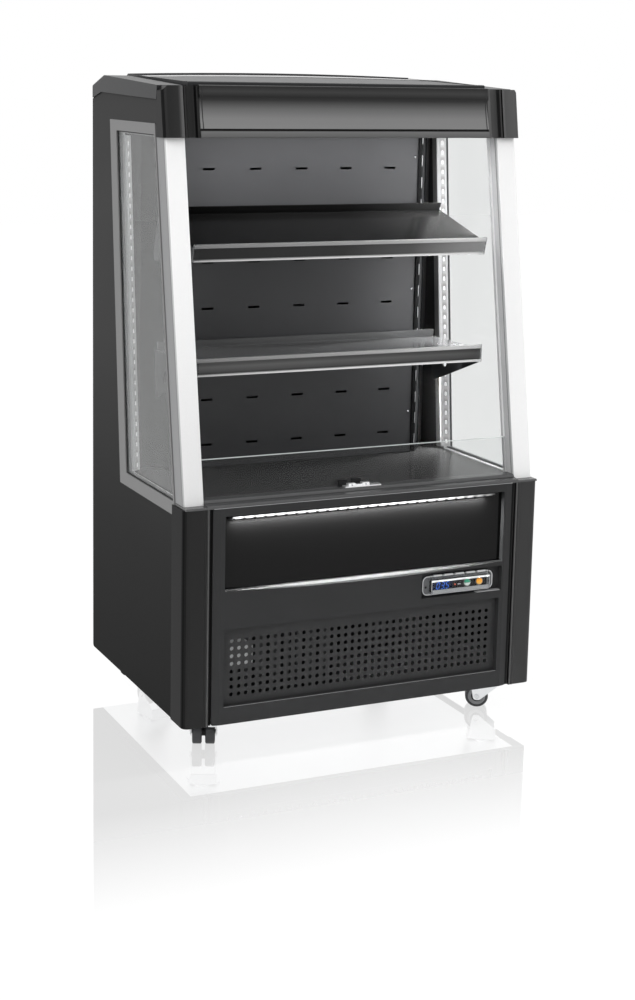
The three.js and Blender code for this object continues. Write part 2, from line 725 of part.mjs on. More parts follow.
// Rail along the front: carries the pillars and holds the front glass in a channel.
const railRear = glassLine(baseTop) + glassThickness + 6;
const railTop = baseTop + 14.4;
function frontRail() {
  const z0 = baseTop + clearance;
  const seat = pillarFoot - clearance;
  const slot = glassLine(glassFoot);
  const nose = [
    [yFront + 1, z0], [railRear, z0], [railRear, railTop - 3, 1.5], [slot + glassThickness + 1, railTop - 3],
    [slot + glassThickness + 1, glassFoot - clearance], [slot - 1, glassFoot - clearance], [slot - 1, railTop, 1],
    [yFront + 22.3, railTop, 2], [yFront + 18.3, railTop - 5.5, 2], [yFront + 1, railTop - 7.5, 3],
  ];
  const inner = pillarOut - pillarWidth - clearance;
  return join(
    alongX(nose, -inner, inner),
    alongX([[yFront + 1, z0], [railRear, z0], [railRear, seat], [yFront + 1, seat, 2]], -xSkin, xSkin),
  );
}
add("front_rail", frontRail(), blackPlastic);

function frontGlass() {
  const half = pillarOut - pillarWidth + 4 - clearance;
  const z0 = glassFoot;
  const pane = block(-half, half, glassLine(z0), glassLine(z0) + glassThickness, z0, glassTop);
  const lowEdge = pillarOut - pillarWidth - 2 * clearance;
  const ears = [-1, 1].map((s) =>
    block(Math.min(s * lowEdge, s * (half + 1)), Math.max(s * lowEdge, s * (half + 1)), 2 * yFront, 0, z0 - 1, z0 + 4));
  return leaned(cut(pane, ...ears), z0);
}
add("front_glass", frontGlass(), clear);

// Catch for the night blind: a foot plate with two lugs and a dark latch between them.
function blindCatch() {
  const z0 = railTop + clearance;
  const y0 = yFront + 24.3;
  const lug = (x) => alongX([[y0 + 2, z0 + 2], [y0 + 14, z0 + 2], [y0 + 14, z0 + 8, 3], [y0 + 2, z0 + 8, 3]], x, x + 16);
  return join(
    block(-42, 40, y0, y0 + 16, z0, z0 + 2.2), lug(-34), lug(-2),
    alongX([[y0 + 4, z0 + 2], [y0 + 12, z0 + 2], [y0 + 12, z0 + 5], [y0 + 4, z0 + 5]], -20, 0),
  );
}
add("blind_catch", blindCatch(), satinAluminium);

// ---------------------------------------------------------------- front of the base
function rect([z0, z1], half, r = 2) {
  return box2(-half, half, z0, z1, r);
}
const [controlLeft, controlRight, , controlHigh] = controlRecess;
const controlHole = [controlRight - 167, controlRight - 31, controlLow + 9, controlLow + 35]; // window of the control unit
const grilleShelf = 10; // web the grille is screwed to
// A crescent ledge under the upper recess: a shallow arc in the face that runs out at the back.
function scoop() {
  const half = (recessHalf + recessRight) / 2 - 2;
  const middle = (recessRight - recessHalf) / 2;
  const steps = 12;
  const arc = Array.from({ length: steps + 1 }, (_, i) => {
    const t = (2 * i) / steps - 1;
    return [middle + half * t, upperRecess[0] - scoopSag * (1 - t * t)];
  });
  const crescent = alongY([...arc, [middle + half, upperRecess[0] + 6], [middle - half, upperRecess[0] + 6]],
    yFront - 2, yWeb);
  const rate = scoopSag / frontFace;
  return crescent.applyMatrix4(new THREE.Matrix4().set(1, 0, 0, 0, 0, 1, 0, 0, 0, rate, 1, -rate * yFront, 0, 0, 0, 1));
}
function frontPanel() {
  const half = postInner - panelGap;
  const face = box2(-half, half, floorGap, baseTop, 3);
  const recesses = [
    box2(-recessHalf, recessRight, upperRecess[0], upperRecess[1], 2), rect(grilleRecess, recessHalf),
    box2(controlLeft, controlRight, controlLow, controlHigh, 3),
  ];
  const front = alongY(face, yFront, yWeb, recesses, 2);
  const web = alongY(face, yWeb, yBehind, [
    rect([grilleRecess[0] + grilleShelf, grilleRecess[1] - grilleShelf], recessHalf - grilleShelf),
    box2(controlHole[0], controlHole[1], controlHole[2], controlHole[3], 2),
  ], 2);
  const chamfer = alongZ([[half - 16, yFront - 0.2], [half + 1, yFront - 0.2], [half + 1, yFront + 4]], 0, headerTop);
  return cut(join(front, web), chamfer, mirrored(chamfer), scoop());
}
add("front_panel", frontPanel(), charcoal);

const recessSheet = 2;
add(
  "recess_panel",
  alongY(
    box2(-recessHalf + clearance, recessRight - clearance, upperRecess[0] + clearance, upperRecess[1] - clearance, 2),
    yWeb - clearance - recessSheet, yWeb - clearance, [], 2,
  ),
  glossBlack,
);

function grille() {
  const [z0, z1] = grilleRecess;
  const middle = (z0 + z1) / 2 - 4;
  const holes = [];
  const r = holeRadius * Math.sqrt((2 * Math.PI) / holeSides / Math.sin((2 * Math.PI) / holeSides));
  for (let column = 0; column < holeColumns; column++)
    for (let row = 0; row < holeRows; row++)
      holes.push(ngon((column - (holeColumns - 1) / 2) * holePitch, middle + (row - (holeRows - 1) / 2) * holePitch,
        r, holeSides));
  return alongY(
    rect([z0 + clearance, z1 - clearance], recessHalf - clearance),
    yWeb - clearance - sheet, yWeb - clearance, holes, 2,
  );
}
add("grille", grille(), blackPlastic);

function frontLed() {
  const z1 = upperRecess[1] - clearance;
  const y1 = yWeb - 2 * clearance - recessSheet;
  return alongX([[y1, z1 - 8], [y1, z1], [y1 - 9, z1], [y1 - 9, z1 - 4], [y1 - 6, z1 - 8]].reverse(),
    -recessHalf + 15, recessHalf - 15);
}
add("led_strip_front", frontLed(), lamp);

// ---------------------------------------------------------------- control unit
const buttonRadius = 7;
const buttonZ = controlLow + 21.5;
const buttonX = [controlRight - 77.2, controlRight - 47.6];
const bezelY = yWeb - 3;
const coverHinge = { y: bezelY - 2.6, z: controlLow + 44.5, r: 2 };
function controller() {
  const [x0, x1, z0, z1] = controlHole;
  const bores = buttonX.map((x) => ngon(x, buttonZ, (buttonRadius + 0.4) / Math.cos(Math.PI / 16), 16));
  const fascia = alongY(box2(x0 + clearance, x1 - clearance, z0 + clearance, z1 - clearance, 1.7), yWeb - 1, yWeb + 10, bores);
  const body = alongY(box2(x0 + 4, x0 + 76, z0 + 2, z1 - 2), yWeb + 8, yWeb + 62);
  const seats = buttonX.map((x) =>
    alongY(ngon(x, buttonZ, 12, 8), yWeb + 8, yWeb + 30));
  return join(fascia, body, ...seats);
}
add("controller", controller(), blackPlastic);

function button() {
  const shape = drum(buttonRadius, 9, 16);
  const rim = drum(buttonRadius - 1.5, 1.6, 12).translate(0, 5.3, 0);
  return join(shape, rim).rotateX(Math.PI);
}
buttonX.forEach((x, i) => {
  const mesh = add(i ? "button_orange" : "button_green", button(), finish(i ? 0xf2a02c : 0x3fbf8f, 0.3));
  mesh.position.set(x, yWeb + 1, buttonZ);
});

function bezel() {
  const x0 = controlLeft + 7.5, x1 = controlRight - 16.5, z0 = controlLow + 3, z1 = controlLow + 44;
  const opening = box2(controlHole[0] - 2, controlHole[1] + 2, controlHole[2] - 1, controlHole[3] + 1, 3);
  return alongY(box2(x0, x1, z0, z1, 12), bezelY, yWeb - clearance, [opening]);
}
add("controller_bezel", bezel(), satinAluminium);

// Clear cover over the controls: a hood that flips up about its top edge.
function cover() {
  const { y, z, r } = coverHinge;
  const front = yFront;
  const rear = bezelY - clearance;
  const foot = controlLow + 7;
  const [x0, x1] = [controlHole[0] - 3, controlHole[1] + 3];
  const t = 1.6;
  const outer = alongX([[rear, foot, 1], [rear, z + 1], [y - 1, z + 1], [front, z - 11, 3], [front, foot, 2]].reverse(), x0, x1);
  const inner = alongX([[rear + 1, foot + t], [rear + 1, z - t], [y - 1.5, z - t], [front + t, z - 12, 2],
    [front + t, foot + t, 1]].reverse(), x0 + t, x1 - t);
  const barrel = drum(r, x1 - x0, 10).rotateZ(Math.PI / 2).translate((x0 + x1) / 2, y, z);
  const gaps = [-42, -14, 14, 42].map((x) => block((x0 + x1) / 2 + x - 2, (x0 + x1) / 2 + x + 2, y - 3, rear + 1, z - 1, z + 3));
  return cut(join(cut(outer, inner), barrel), ...gaps);
}
add("controller_cover", cover(), clear);

// ---------------------------------------------------------------- machine space
// Base pan: folded tray that carries the refrigerating set, with a plate and a king pin for each castor.
const panTop = floorGap + 2;
const panRear = yRear - 16; // the cover's flanges stand behind this
function basePan() {
  const half = xInner - clearance;
  const front = yBehind + clearance;
  const inside = box2(-half + sheet, half - sheet, front + sheet, panRear - sheet);
  const rim = alongZ(box2(-half, half, front, panRear), floorGap, panTop + panLip, [inside]);
  const floor = block(-half, half, front, yRear - 4, floorGap, panTop);
  const seats = Object.values(castors).flatMap(([x, y]) => [
    alongZ(box2(x - plateSize / 2, x + plateSize / 2, y - plateSize / 2, y + plateSize / 2, 5),
      crownHeight + 4 + clearance, floorGap + 0.5, [], 1),
    drum(kingPin, panTop - crownHeight + 4, 8).rotateX(Math.PI / 2).translate(x, y, (panTop + crownHeight - 4) / 2),
  ]);
  return join(rim, floor, ...seats);
}
const kingPin = 6;
add("base_pan", basePan(), galvanised);

// A block of vertical fins: a comb in plan, open to the front.
function finBlock([x0, x1, z0, z1], [y0, y1], pitch) {
  const count = Math.floor((x1 - x0) / pitch / 2) * 2;
  const step = (x1 - x0) / count;
  const comb = Array.from({ length: count / 2 }, (_, i) => {
    const x = x0 + 2 * step * i;
    return [[x, y0], [x + step, y0], [x + step, y1 - 6], [x + 2 * step, y1 - 6]];
  }).flat();
  return alongZ([...comb, [x1, y0], [x1 + sheet, y0], [x1 + sheet, y1], [x0, y1]], z0, z1);
}
// A return bend of the coil: half a ring of tube in the plane square to X.
function returnBend(x, y, z, r, tube, side) {
  const curve = new THREE.CatmullRomCurve3(
    [[0, r], [0.62 * r, 0.78 * r], [r, 0], [0.62 * r, -0.78 * r], [0, -r]].map(([a, b]) =>
      new THREE.Vector3(x + side * a, y, z + b)),
  );
  const section = new THREE.Shape(outline(ngon(0, 0, tube, 5)));
  return new THREE.ExtrudeGeometry(section, { steps: 4, extrudePath: curve, bevelEnabled: false });
}

function condenser() {
  const [x0, x1, z0, z1] = condenserBox;
  const [y0, y1] = condenserDepth;
  const middle = (y0 + y1) / 2;
  const ends = [x0 - 3, x1].map((x) => block(x, x + 3, y0, y1, panTop, z1 + 6));
  const bends = [0, 1].map((i) => returnBend(x1 + 2.5, middle, z0 + 55 + i * 90, 14, 5, 1));
  return join(finBlock([x0 - 0.5, x1 - 1, z0, z1], [y0 + 3, y1 - 2], finPitch), ...ends, ...bends);
}
add("condenser", condenser(), satinAluminium);

// Shroud: a plate with a duct, and the motor on three arms behind it.
const fanAt = [(condenserBox[0] + condenserBox[1]) / 2, (condenserBox[2] + condenserBox[3]) / 2];
function ductAndMotor(r, depth, motor) {
  const bore = ngon(0, 0, r, 16);
  const duct = alongY(ngon(0, 0, r + 3, 16), 0, depth, [bore]);
  const arms = [0, 1, 2].map((i) =>
    block(-5, 5, depth, depth + 4, 0, r + 2.4).rotateY((2 * Math.PI * (i + 0.25)) / 3));
  return [duct, ...arms, alongY(ngon(0, 0, fanHub, 8), depth - 1, depth + motor)];
}
const ductDepth = 23;
function condenserShroud() {
  const [x0, x1, , z1] = condenserBox;
  const [x, z] = fanAt;
  const y0 = condenserDepth[1] + clearance;
  const bore = fanRadius + fanGap;
  const plate = alongY(box2(x0, x1, panTop, z1, 4), y0, y0 + 2, [ngon(x, z, bore, 16)]);
  const pieces = ductAndMotor(bore, ductDepth, 34).map((g) => g.translate(x, y0, z));
  return join(plate, ...pieces);
}
add("condenser_shroud", condenserShroud(), blackPlastic);

// Fan: pitched blades on a hub; its axis is Y, about the origin.
function fanWheel(radius, hub, width, blades, pitch) {
  const chord = (width - 3) / Math.sin(rad(pitch));
  const blade = new THREE.ExtrudeGeometry(
    new THREE.Shape(outline([[hub - 4, -chord / 3], [radius * 0.8, -chord / 2], [radius * 0.98, -chord / 5],
      [radius * 0.97, chord / 4], [radius * 0.85, chord / 2], [hub - 4, chord / 3]])),
    { depth: 1.8, bevelEnabled: false },
  ).translate(0, 0, -0.9).rotateX(rad(pitch));
  const ring = Array.from({ length: blades }, (_, i) =>
    blade.clone().rotateX(-Math.PI / 2).rotateY((2 * Math.PI * i) / blades));
  return join(alongY(ngon(0, 0, hub, 10), -width / 2, width / 2), ...ring);
}
const fanWidth = ductDepth - 3;
const condenserFan = add(
  "condenser_fan", fanWheel(fanRadius, fanHub, fanWidth, 5, 30), blackPlastic,
);
condenserFan.position.set(fanAt[0], condenserDepth[1] + ductDepth - 1 - fanWidth / 2, fanAt[1]);

// Hermetic compressor: a welded dome on a foot plate with rubber feet, a terminal box and two stubs.
function compressor() {
  const [x, y] = compressorAt;
  const r = compressorRadius;
  const z0 = panTop + 14;
  const h = compressorHeight;
  const shell = new THREE.LatheGeometry(
    [[0, 0], [r * 0.72, 0], [r, 20], [r, h * 0.42], [r + 4, h * 0.43], [r + 4, h * 0.47], [r, h * 0.48],
      [r * 0.97, h * 0.8], [r * 0.78, h * 0.94], [r * 0.4, h], [0, h]].map(([a, b]) => V2(a, b)), 14,
  ).rotateX(Math.PI / 2).translate(x, y, z0);
  const foot = alongZ(box2(x - r - 16, x + r + 16, y - r * 0.7, y + r * 0.7, 14), z0 - 4, z0 + 1, [], 2);
  const feet = [-1, 1].flatMap((i) => [-1, 1].map((j) =>
    drum(11, 11, 6).rotateX(Math.PI / 2).translate(x + i * (r + 2), y + j * r * 0.5, panTop + 5.5)));
  const box = block(x - 26, x + 26, y - r - 24, y - r + 8, z0 + 46, z0 + 112);
  const stubs = [-20, 20].map((a) =>
    drum(5, 40, 6).rotateX(Math.PI / 2).translate(x + a, y + 20, z0 + h + 8));
  return join(shell, foot, ...feet, box, ...stubs);
}
add("compressor", compressor(), black);

// Evaporator behind the back wall, hung from the rear panel, with its fan deck above the coil.
const coilFan = { y: (coilDepth[0] + coilDepth[1]) / 2, z: coilBox[3] + 18 };
function evaporator() {
  const [x0, x1, z0, z1] = coilBox;
  const [y0, y1] = coilDepth;
  const wall = yRear - rearWall - clearance;
  const bore = coilFanRadius + fanGap;
  const ends = [x0 - 2, x1].map((x) =>
    alongX([[y0 - 4, z0 - 6], [wall, z0 - 6], [wall, coilFan.z], [y0 - 4, coilFan.z, 6]], x, x + 2));
  const bends = [0, 1].map((i) => returnBend(x1 + 1.5, (y0 + y1) / 2, z0 + 60 + i * 110, 14, 5, 1));
  const deck = alongZ(box2(x0 - 1, x1 + 1, y0 - 4, wall), coilFan.z - 2, coilFan.z, [ngon(0, coilFan.y, bore, 16)]);
  const fanSeat = ductAndMotor(bore, ductDepth, 26).map((g) =>
    g.rotateX(Math.PI / 2).translate(0, coilFan.y, coilFan.z));
  return join(finBlock([x0 - 0.5, x1 - 1, z0, z1], [y0, y1], 2.5 * finPitch), ...ends, ...bends, deck, ...fanSeat);
}
add("evaporator", evaporator(), satinAluminium);
const evaporatorFan = add(
  "evaporator_fan", fanWheel(coilFanRadius, fanHub, fanWidth, 4, 30), blackPlastic,
);
evaporatorFan.rotation.x = Math.PI / 2;
evaporatorFan.position.set(0, coilFan.y, coilFan.z + ductDepth - 1 - clearance - fanWidth / 2);

// Cord gland: a flanged bush through the louvred cover.
function gland() {
  const [x, z] = glandAt;
  const inner = yRear - 4 - sheet;
  const bore = ngon(x, z, glandBore, 8);
  const ring = (r, y0, y1) => alongY(ngon(x, z, r, 8), y0, y1, [bore]);
  return join(
    ring(glandNeck - clearance, inner - 4, yRear - 0.5),
    ring(glandNeck + 4, yRear - 4 + clearance, yRear - 2),
    ring(glandNeck + 3, inner - 3, inner - clearance),
  );
}
add("cord_gland", gland(), black);

// ---------------------------------------------------------------- castors
// Fork: a pressed crown with an apron and two three-cornered legs. Its group stands on the floor under
// the king pin, with the axle along the group's X and the wheels trailing towards its +Y.
const crownTop = crownHeight + 4;
const legX = wheelSpread / 2 + 1.5;
const axleRadius = 4;
const crown = [-28, 33]; // front and rear of the crown
function fork() {
  const leg = [
    [crown[0], crownTop], [crown[0], 50, 4], [trail - 6, 17.5, 6], [trail + 7, 17.5, 6], [crown[1], crownTop],
  ].reverse();
  const hole = ngon(trail, wheelRadius, axleRadius + 0.8, 8);
  const right = alongX(leg, legX, legX + forkSheet, [hole], 2);
  const plate = alongZ(box2(-legX - 0.5, legX + 0.5, crown[0], crown[1]), crownHeight, crownTop, [
    ngon(0, 0, (kingPin + 0.6) / Math.cos(Math.PI / 8), 8),
  ]);
  const apron = block(-legX - 0.5, legX + 0.5, crown[0], crown[0] + forkSheet, 51, crownHeight + 1);
  return join(plate, apron, right, mirrored(right));
}
// Twin wheel: two treads on one hub, whose stub axles turn in the legs. Flat on the floor.
function twinWheel() {
  const sides = 12;
  const r = wheelRadius / Math.cos(Math.PI / sides);
  const out = wheelSpread / 2;
  const inn = out - wheelWidth;
  const half = [
    [axleRadius, legX + forkSheet + 1], [axleRadius, out - 2], [0.6 * r, out - 2], [0.66 * r, out], [r, out - 1.5],
    [r, inn], [0.4 * r, inn],
  ];
  const profile = [[0, half[0][1]], ...half, ...half.map(([a, b]) => [a, -b]).reverse(), [0, -half[0][1]]];
  return new THREE.LatheGeometry(profile.reverse().map(([a, b]) => V2(a, b)), sides)
    .rotateY(Math.PI / sides)
    .rotateZ(-Math.PI / 2);
}
Object.entries(castors).forEach(([place, [x, y, turn]]) => {
  const group = new THREE.Group();
  group.position.set(x, y, 0);
  group.rotation.z = rad(turn);
  root.add(group);
  add("castor_fork_" + place, fork(), galvanised, group);
  const wheel = add("castor_wheel_" + place, twinWheel(), blackPlastic, group);
  wheel.position.set(0, trail, wheelRadius);
});

export default root;
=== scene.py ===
"""Open multideck display fridge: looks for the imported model, in metres, in the model's own frame."""
import math

import bmesh
import bpy
from mathutils import Matrix, Vector


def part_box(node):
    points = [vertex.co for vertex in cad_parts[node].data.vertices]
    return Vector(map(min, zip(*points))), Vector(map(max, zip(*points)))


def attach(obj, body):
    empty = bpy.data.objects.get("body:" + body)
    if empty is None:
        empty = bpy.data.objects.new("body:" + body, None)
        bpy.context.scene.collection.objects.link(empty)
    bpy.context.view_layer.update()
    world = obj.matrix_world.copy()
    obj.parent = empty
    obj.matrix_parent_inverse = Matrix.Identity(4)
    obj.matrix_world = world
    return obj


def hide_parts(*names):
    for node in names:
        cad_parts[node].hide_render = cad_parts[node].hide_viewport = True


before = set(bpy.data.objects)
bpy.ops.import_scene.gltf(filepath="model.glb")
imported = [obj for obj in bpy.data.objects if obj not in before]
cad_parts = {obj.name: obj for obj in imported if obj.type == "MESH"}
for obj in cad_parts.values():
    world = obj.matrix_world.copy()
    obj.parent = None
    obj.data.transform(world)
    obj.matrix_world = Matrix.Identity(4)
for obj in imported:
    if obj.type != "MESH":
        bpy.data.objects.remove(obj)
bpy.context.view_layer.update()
MM = 0.001

# Camera of the photograph: its place in metres, its turn, and the picture's frame in pixels.
PHOTO_SIZE = (635, 1000)
CAMERA_AT = Vector((-1.5991, -3.2754, 1.3184))
CAMERA_TURN = (22.466, -9.366, -0.577)  # yaw, pitch and roll in degrees
FOCAL_PIXELS = 1695.9
PRINCIPAL_POINT = (206.4, 378.25)

# Sizes that the pieces share with the solids.
LEAN = 0.1638  # how far the front leans back per metre of height
FRONT_Y = -0.2843  # foremost plane of the casing
PANE_SKIN = 0.3983  # outer face of the side panes
PANE = 0.004  # thickness of each pane
HALF_INNER = 0.380  # inner face of the side window frames

# The studio.
WHITE = (1, 1, 1, 1)
WORLD_LEVEL = 0.55
FLOOR_GLOW = 0.95
MIRROR_LEVEL = 0.3
MIRROR_FADE = (-2.9, -2.45)  # in the floor's own frame, which starts 2 m behind the cabinet's middle


# ---- camera, light and stage
def make_camera():
    yaw, pitch, roll = (math.radians(v) for v in CAMERA_TURN)
    forward = Vector((math.sin(yaw) * math.cos(pitch), math.cos(yaw) * math.cos(pitch), math.sin(pitch)))
    right = Vector((math.cos(yaw), -math.sin(yaw), 0.0))
    down = forward.cross(right)
    image_right = math.cos(roll) * right + math.sin(roll) * down
    image_down = -math.sin(roll) * right + math.cos(roll) * down
    data = bpy.data.cameras.new("camera")
    data.sensor_width = 36.0
    data.lens = FOCAL_PIXELS / PHOTO_SIZE[1] * data.sensor_width
    data.shift_x = (PHOTO_SIZE[0] / 2 - PRINCIPAL_POINT[0]) / PHOTO_SIZE[1]
    data.shift_y = (PRINCIPAL_POINT[1] - PHOTO_SIZE[1] / 2) / PHOTO_SIZE[1]
    data.clip_end = 60.0
    camera = bpy.data.objects.new("camera", data)
    axes = Matrix((image_right, -image_down, -forward)).transposed()
    camera.matrix_world = Matrix.Translation(CAMERA_AT) @ axes.to_4x4()
    bpy.context.scene.collection.objects.link(camera)
    bpy.context.scene.camera = camera


def area_light(name, at, towards, size, power, hidden=False):
    data = bpy.data.lights.new(name, "AREA")
    data.shape = "RECTANGLE"
    data.size, data.size_y = size
    data.energy = power
    lamp = bpy.data.objects.new(name, data)
    lamp.location = at
    lamp.rotation_euler = (Vector(towards) - Vector(at)).to_track_quat("-Z", "Y").to_euler()
    lamp.visible_camera = lamp.visible_transmission = lamp.visible_glossy = not hidden
    bpy.context.scene.collection.objects.link(lamp)


def feed(tree, node, values):
    """Sets the sockets of a node, each to a value or to a link from another node's socket."""
    for socket, value in values.items():
        if isinstance(value, bpy.types.NodeSocket):
            tree.links.new(value, node.inputs[socket])
        else:
            node.inputs[socket].default_value = value


def add(tree, kind, values=None, **settings):
    """A new shader node."""
    node = tree.nodes.new("ShaderNode" + kind)
    for key, value in settings.items():
        setattr(node, key, value)
    feed(tree, node, values or {})
    return node


def seen_directly(tree):
    """1 for the rays that show a background: straight from the camera, mirrored, or through glass."""
    path = add(tree, "LightPath").outputs
    first = add(tree, "Math", {0: path["Is Camera Ray"], 1: path["Is Transmission Ray"]}, operation="MAXIMUM")
    return add(tree, "Math", {0: first.outputs[0], 1: path["Is Glossy Ray"]}, operation="MAXIMUM").outputs[0]


def make_world():
    """White where it shows, and dimmer as a light."""
    world = bpy.data.worlds.new("studio")
    bpy.context.scene.world = world
    world.use_nodes = True
    tree = world.node_tree
    tree.nodes.clear()
    dim, full = (add(tree, "Background", {"Color": WHITE, "Strength": level}) for level in (WORLD_LEVEL, 1.0))
    mix = add(tree, "MixShader", {0: seen_directly(tree), 1: dim.outputs[0], 2: full.outputs[0]})
    add(tree, "OutputWorld", {"Surface": mix.outputs[0]})


def make_stage():
    """A white floor that keeps a faint shadow and mirrors the object, less and less towards the front."""
    bpy.ops.mesh.primitive_plane_add(size=24, location=(0, 2, 0))
    floor = bpy.context.object
    floor.name = "floor"
    material = bpy.data.materials.new("floor_white")
    material.use_nodes = True
    tree = material.node_tree
    tree.nodes.clear()
    plain, pale = (add(tree, "BsdfDiffuse", {"Color": (level, level, level, 1)}) for level in (0.8, 0.1))
    glow = add(tree, "Emission", {"Strength": FLOOR_GLOW})
    white = add(tree, "AddShader", {0: pale.outputs[0], 1: glow.outputs[0]})
    shine = add(tree, "BsdfGlossy", {"Color": WHITE, "Roughness": 0.0})
    split = add(tree, "SeparateXYZ", {0: add(tree, "TexCoord").outputs["Object"]})
    fade = add(tree, "MapRange", {"Value": split.outputs["Y"], "From Min": MIRROR_FADE[0],
                                  "From Max": MIRROR_FADE[1], "To Min": 0.0, "To Max": MIRROR_LEVEL})
    polished = add(tree, "MixShader", {0: fade.outputs["Result"], 1: white.outputs[0], 2: shine.outputs[0]})
    whole = add(tree, "MixShader", {0: seen_directly(tree), 1: plain.outputs[0], 2: polished.outputs[0]})
    add(tree, "OutputMaterial", {"Surface": whole.outputs[0]})
    floor.data.materials.append(material)


bpy.context.scene.view_settings.view_transform = "Standard"
make_camera()
make_world()
make_stage()
area_light("key", (-3.2, -2.6, 3.4), (0, 0, 0.7), (2.6, 2.6), 95)
area_light("fill", (3.4, -2.4, 2.2), (0, 0, 0.8), (2.2, 2.8), 28)
area_light("top", (0, 0.2, 4.2), (0, 0, 1.0), (2.4, 2.4), 40)


# ---- materials
def surface(name, colour, roughness, metal=0.0, level=0.5, tone=0.08, scatter=0.06, grain=500.0, bump=0.1,
            depth=0.00006, stretch=(1, 1, 1), glow=0.0, ior=1.45, clear=0.0, alpha=1.0, bands=None,
            pools=None, side=None):
    """A procedural surface: broad tone changes, and fine grain in the normal and in the roughness.

    bands is an axis and a list of [place in metres, colour] along it, in place of one colour; many materials
    use them for painted light and shade. side is a painted shade: another colour for the faces that look to
    -X. pools is a pitch and a dimmest level of light along the bands' axis.
    """
    material = bpy.data.materials.new(name)
    material.use_nodes = True
    tree = material.node_tree
    where = add(tree, "TexCoord").outputs
    scale = add(tree, "Mapping", {"Vector": where["Object"], "Scale": stretch})
    fine = add(tree, "TexNoise", {"Vector": scale.outputs["Vector"], "Scale": grain,
                                  "Detail": 3.0}).outputs["Fac"]
    broad = add(tree, "TexNoise", {"Vector": where["Object"], "Scale": 4.5, "Detail": 2.0}).outputs["Fac"]

    def mixed(a, b, factor=1.0, kind="MULTIPLY"):
        return add(tree, "Mix", {"Factor": factor, "A": a, "B": b}, data_type="RGBA",
                   blend_type=kind).outputs["Result"]

    plain = (1, 1, 1) if bands else colour
    shade = mixed(*([min(1.0, c * (1 + k * tone)) for c in plain] + [1] for k in (-1, 1)), broad, "MIX")
    if stretch != (1, 1, 1):
        shade = mixed(shade, mixed((0.86, 0.86, 0.86, 1), WHITE, fine, "MIX"))
    if bands:
        axis, stops = bands
        first, span = stops[0][0], stops[-1][0] - stops[0][0]
        split = add(tree, "SeparateXYZ", {0: where["Object"]})
        place = add(tree, "MapRange", {"Value": split.outputs[axis], "From Min": first,
                                       "From Max": first + span})
        ramp = add(tree, "ValToRGB", {"Fac": place.outputs["Result"]})
        while len(ramp.color_ramp.elements) < len(stops):
            ramp.color_ramp.elements.new(0.5)
        for element, (at, tint) in zip(ramp.color_ramp.elements, stops):
            element.position = (at - first) / span
            element.color = (*tint, 1) if isinstance(tint, tuple) else (tint, tint, tint, 1)
        shade = mixed(ramp.outputs["Color"], shade)
        if pools:
            pitch, dimmest = pools
            step = add(tree, "Math", {0: split.outputs[axis], 1: pitch}, operation="DIVIDE")
            wave = add(tree, "Math", {0: step.outputs[0], 1: 0.5}, operation="PINGPONG")
            pool = add(tree, "MapRange", {"Value": wave.outputs[0], "From Min": 0.05, "From Max": 0.4,
                                          "To Min": dimmest}, interpolation_type="SMOOTHSTEP")
            shade = mixed(shade, pool.outputs["Result"])
    # painted shade: faces that look to -X take the darker side colour
    if side:
        turn = add(tree, "SeparateXYZ", {0: where["Normal"]})
        shade_side_mask = add(tree, "MapRange", {"Value": turn.outputs["X"], "From Min": -0.4, "From Max": -0.9})
        shade = mixed(shade, (*side, 1), shade_side_mask.outputs["Result"], "MIX")
    rough = add(tree, "MapRange", {"Value": fine, "To Min": max(0.0, roughness - scatter),
                                   "To Max": min(1.0, roughness + scatter)})
    relief = add(tree, "Bump", {"Height": fine, "Strength": bump, "Distance": depth})
    shader = tree.nodes["Principled BSDF"]
    feed(tree, shader, {"Base Color": shade, "Roughness": rough.outputs["Result"],
                        "Normal": relief.outputs["Normal"], "Metallic": metal, "Specular IOR Level": level,
                        "IOR": ior, "Transmission Weight": clear, "Alpha": alpha})
    if glow:
        feed(tree, shader, {"Emission Color": shade, "Emission Strength": glow})
    return material


LED_PITCH = 0.022
FRONT_LED_PITCH = 0.023
# painted shade for the faces of the posts and header caps that look to -X
PAINTED_SHADE_SIDE = (0.004, 0.004, 0.0042)
BRUSHED = (0.1, 4, 4)
UPRIGHT_BRUSHED = (9, 9, 0.25)

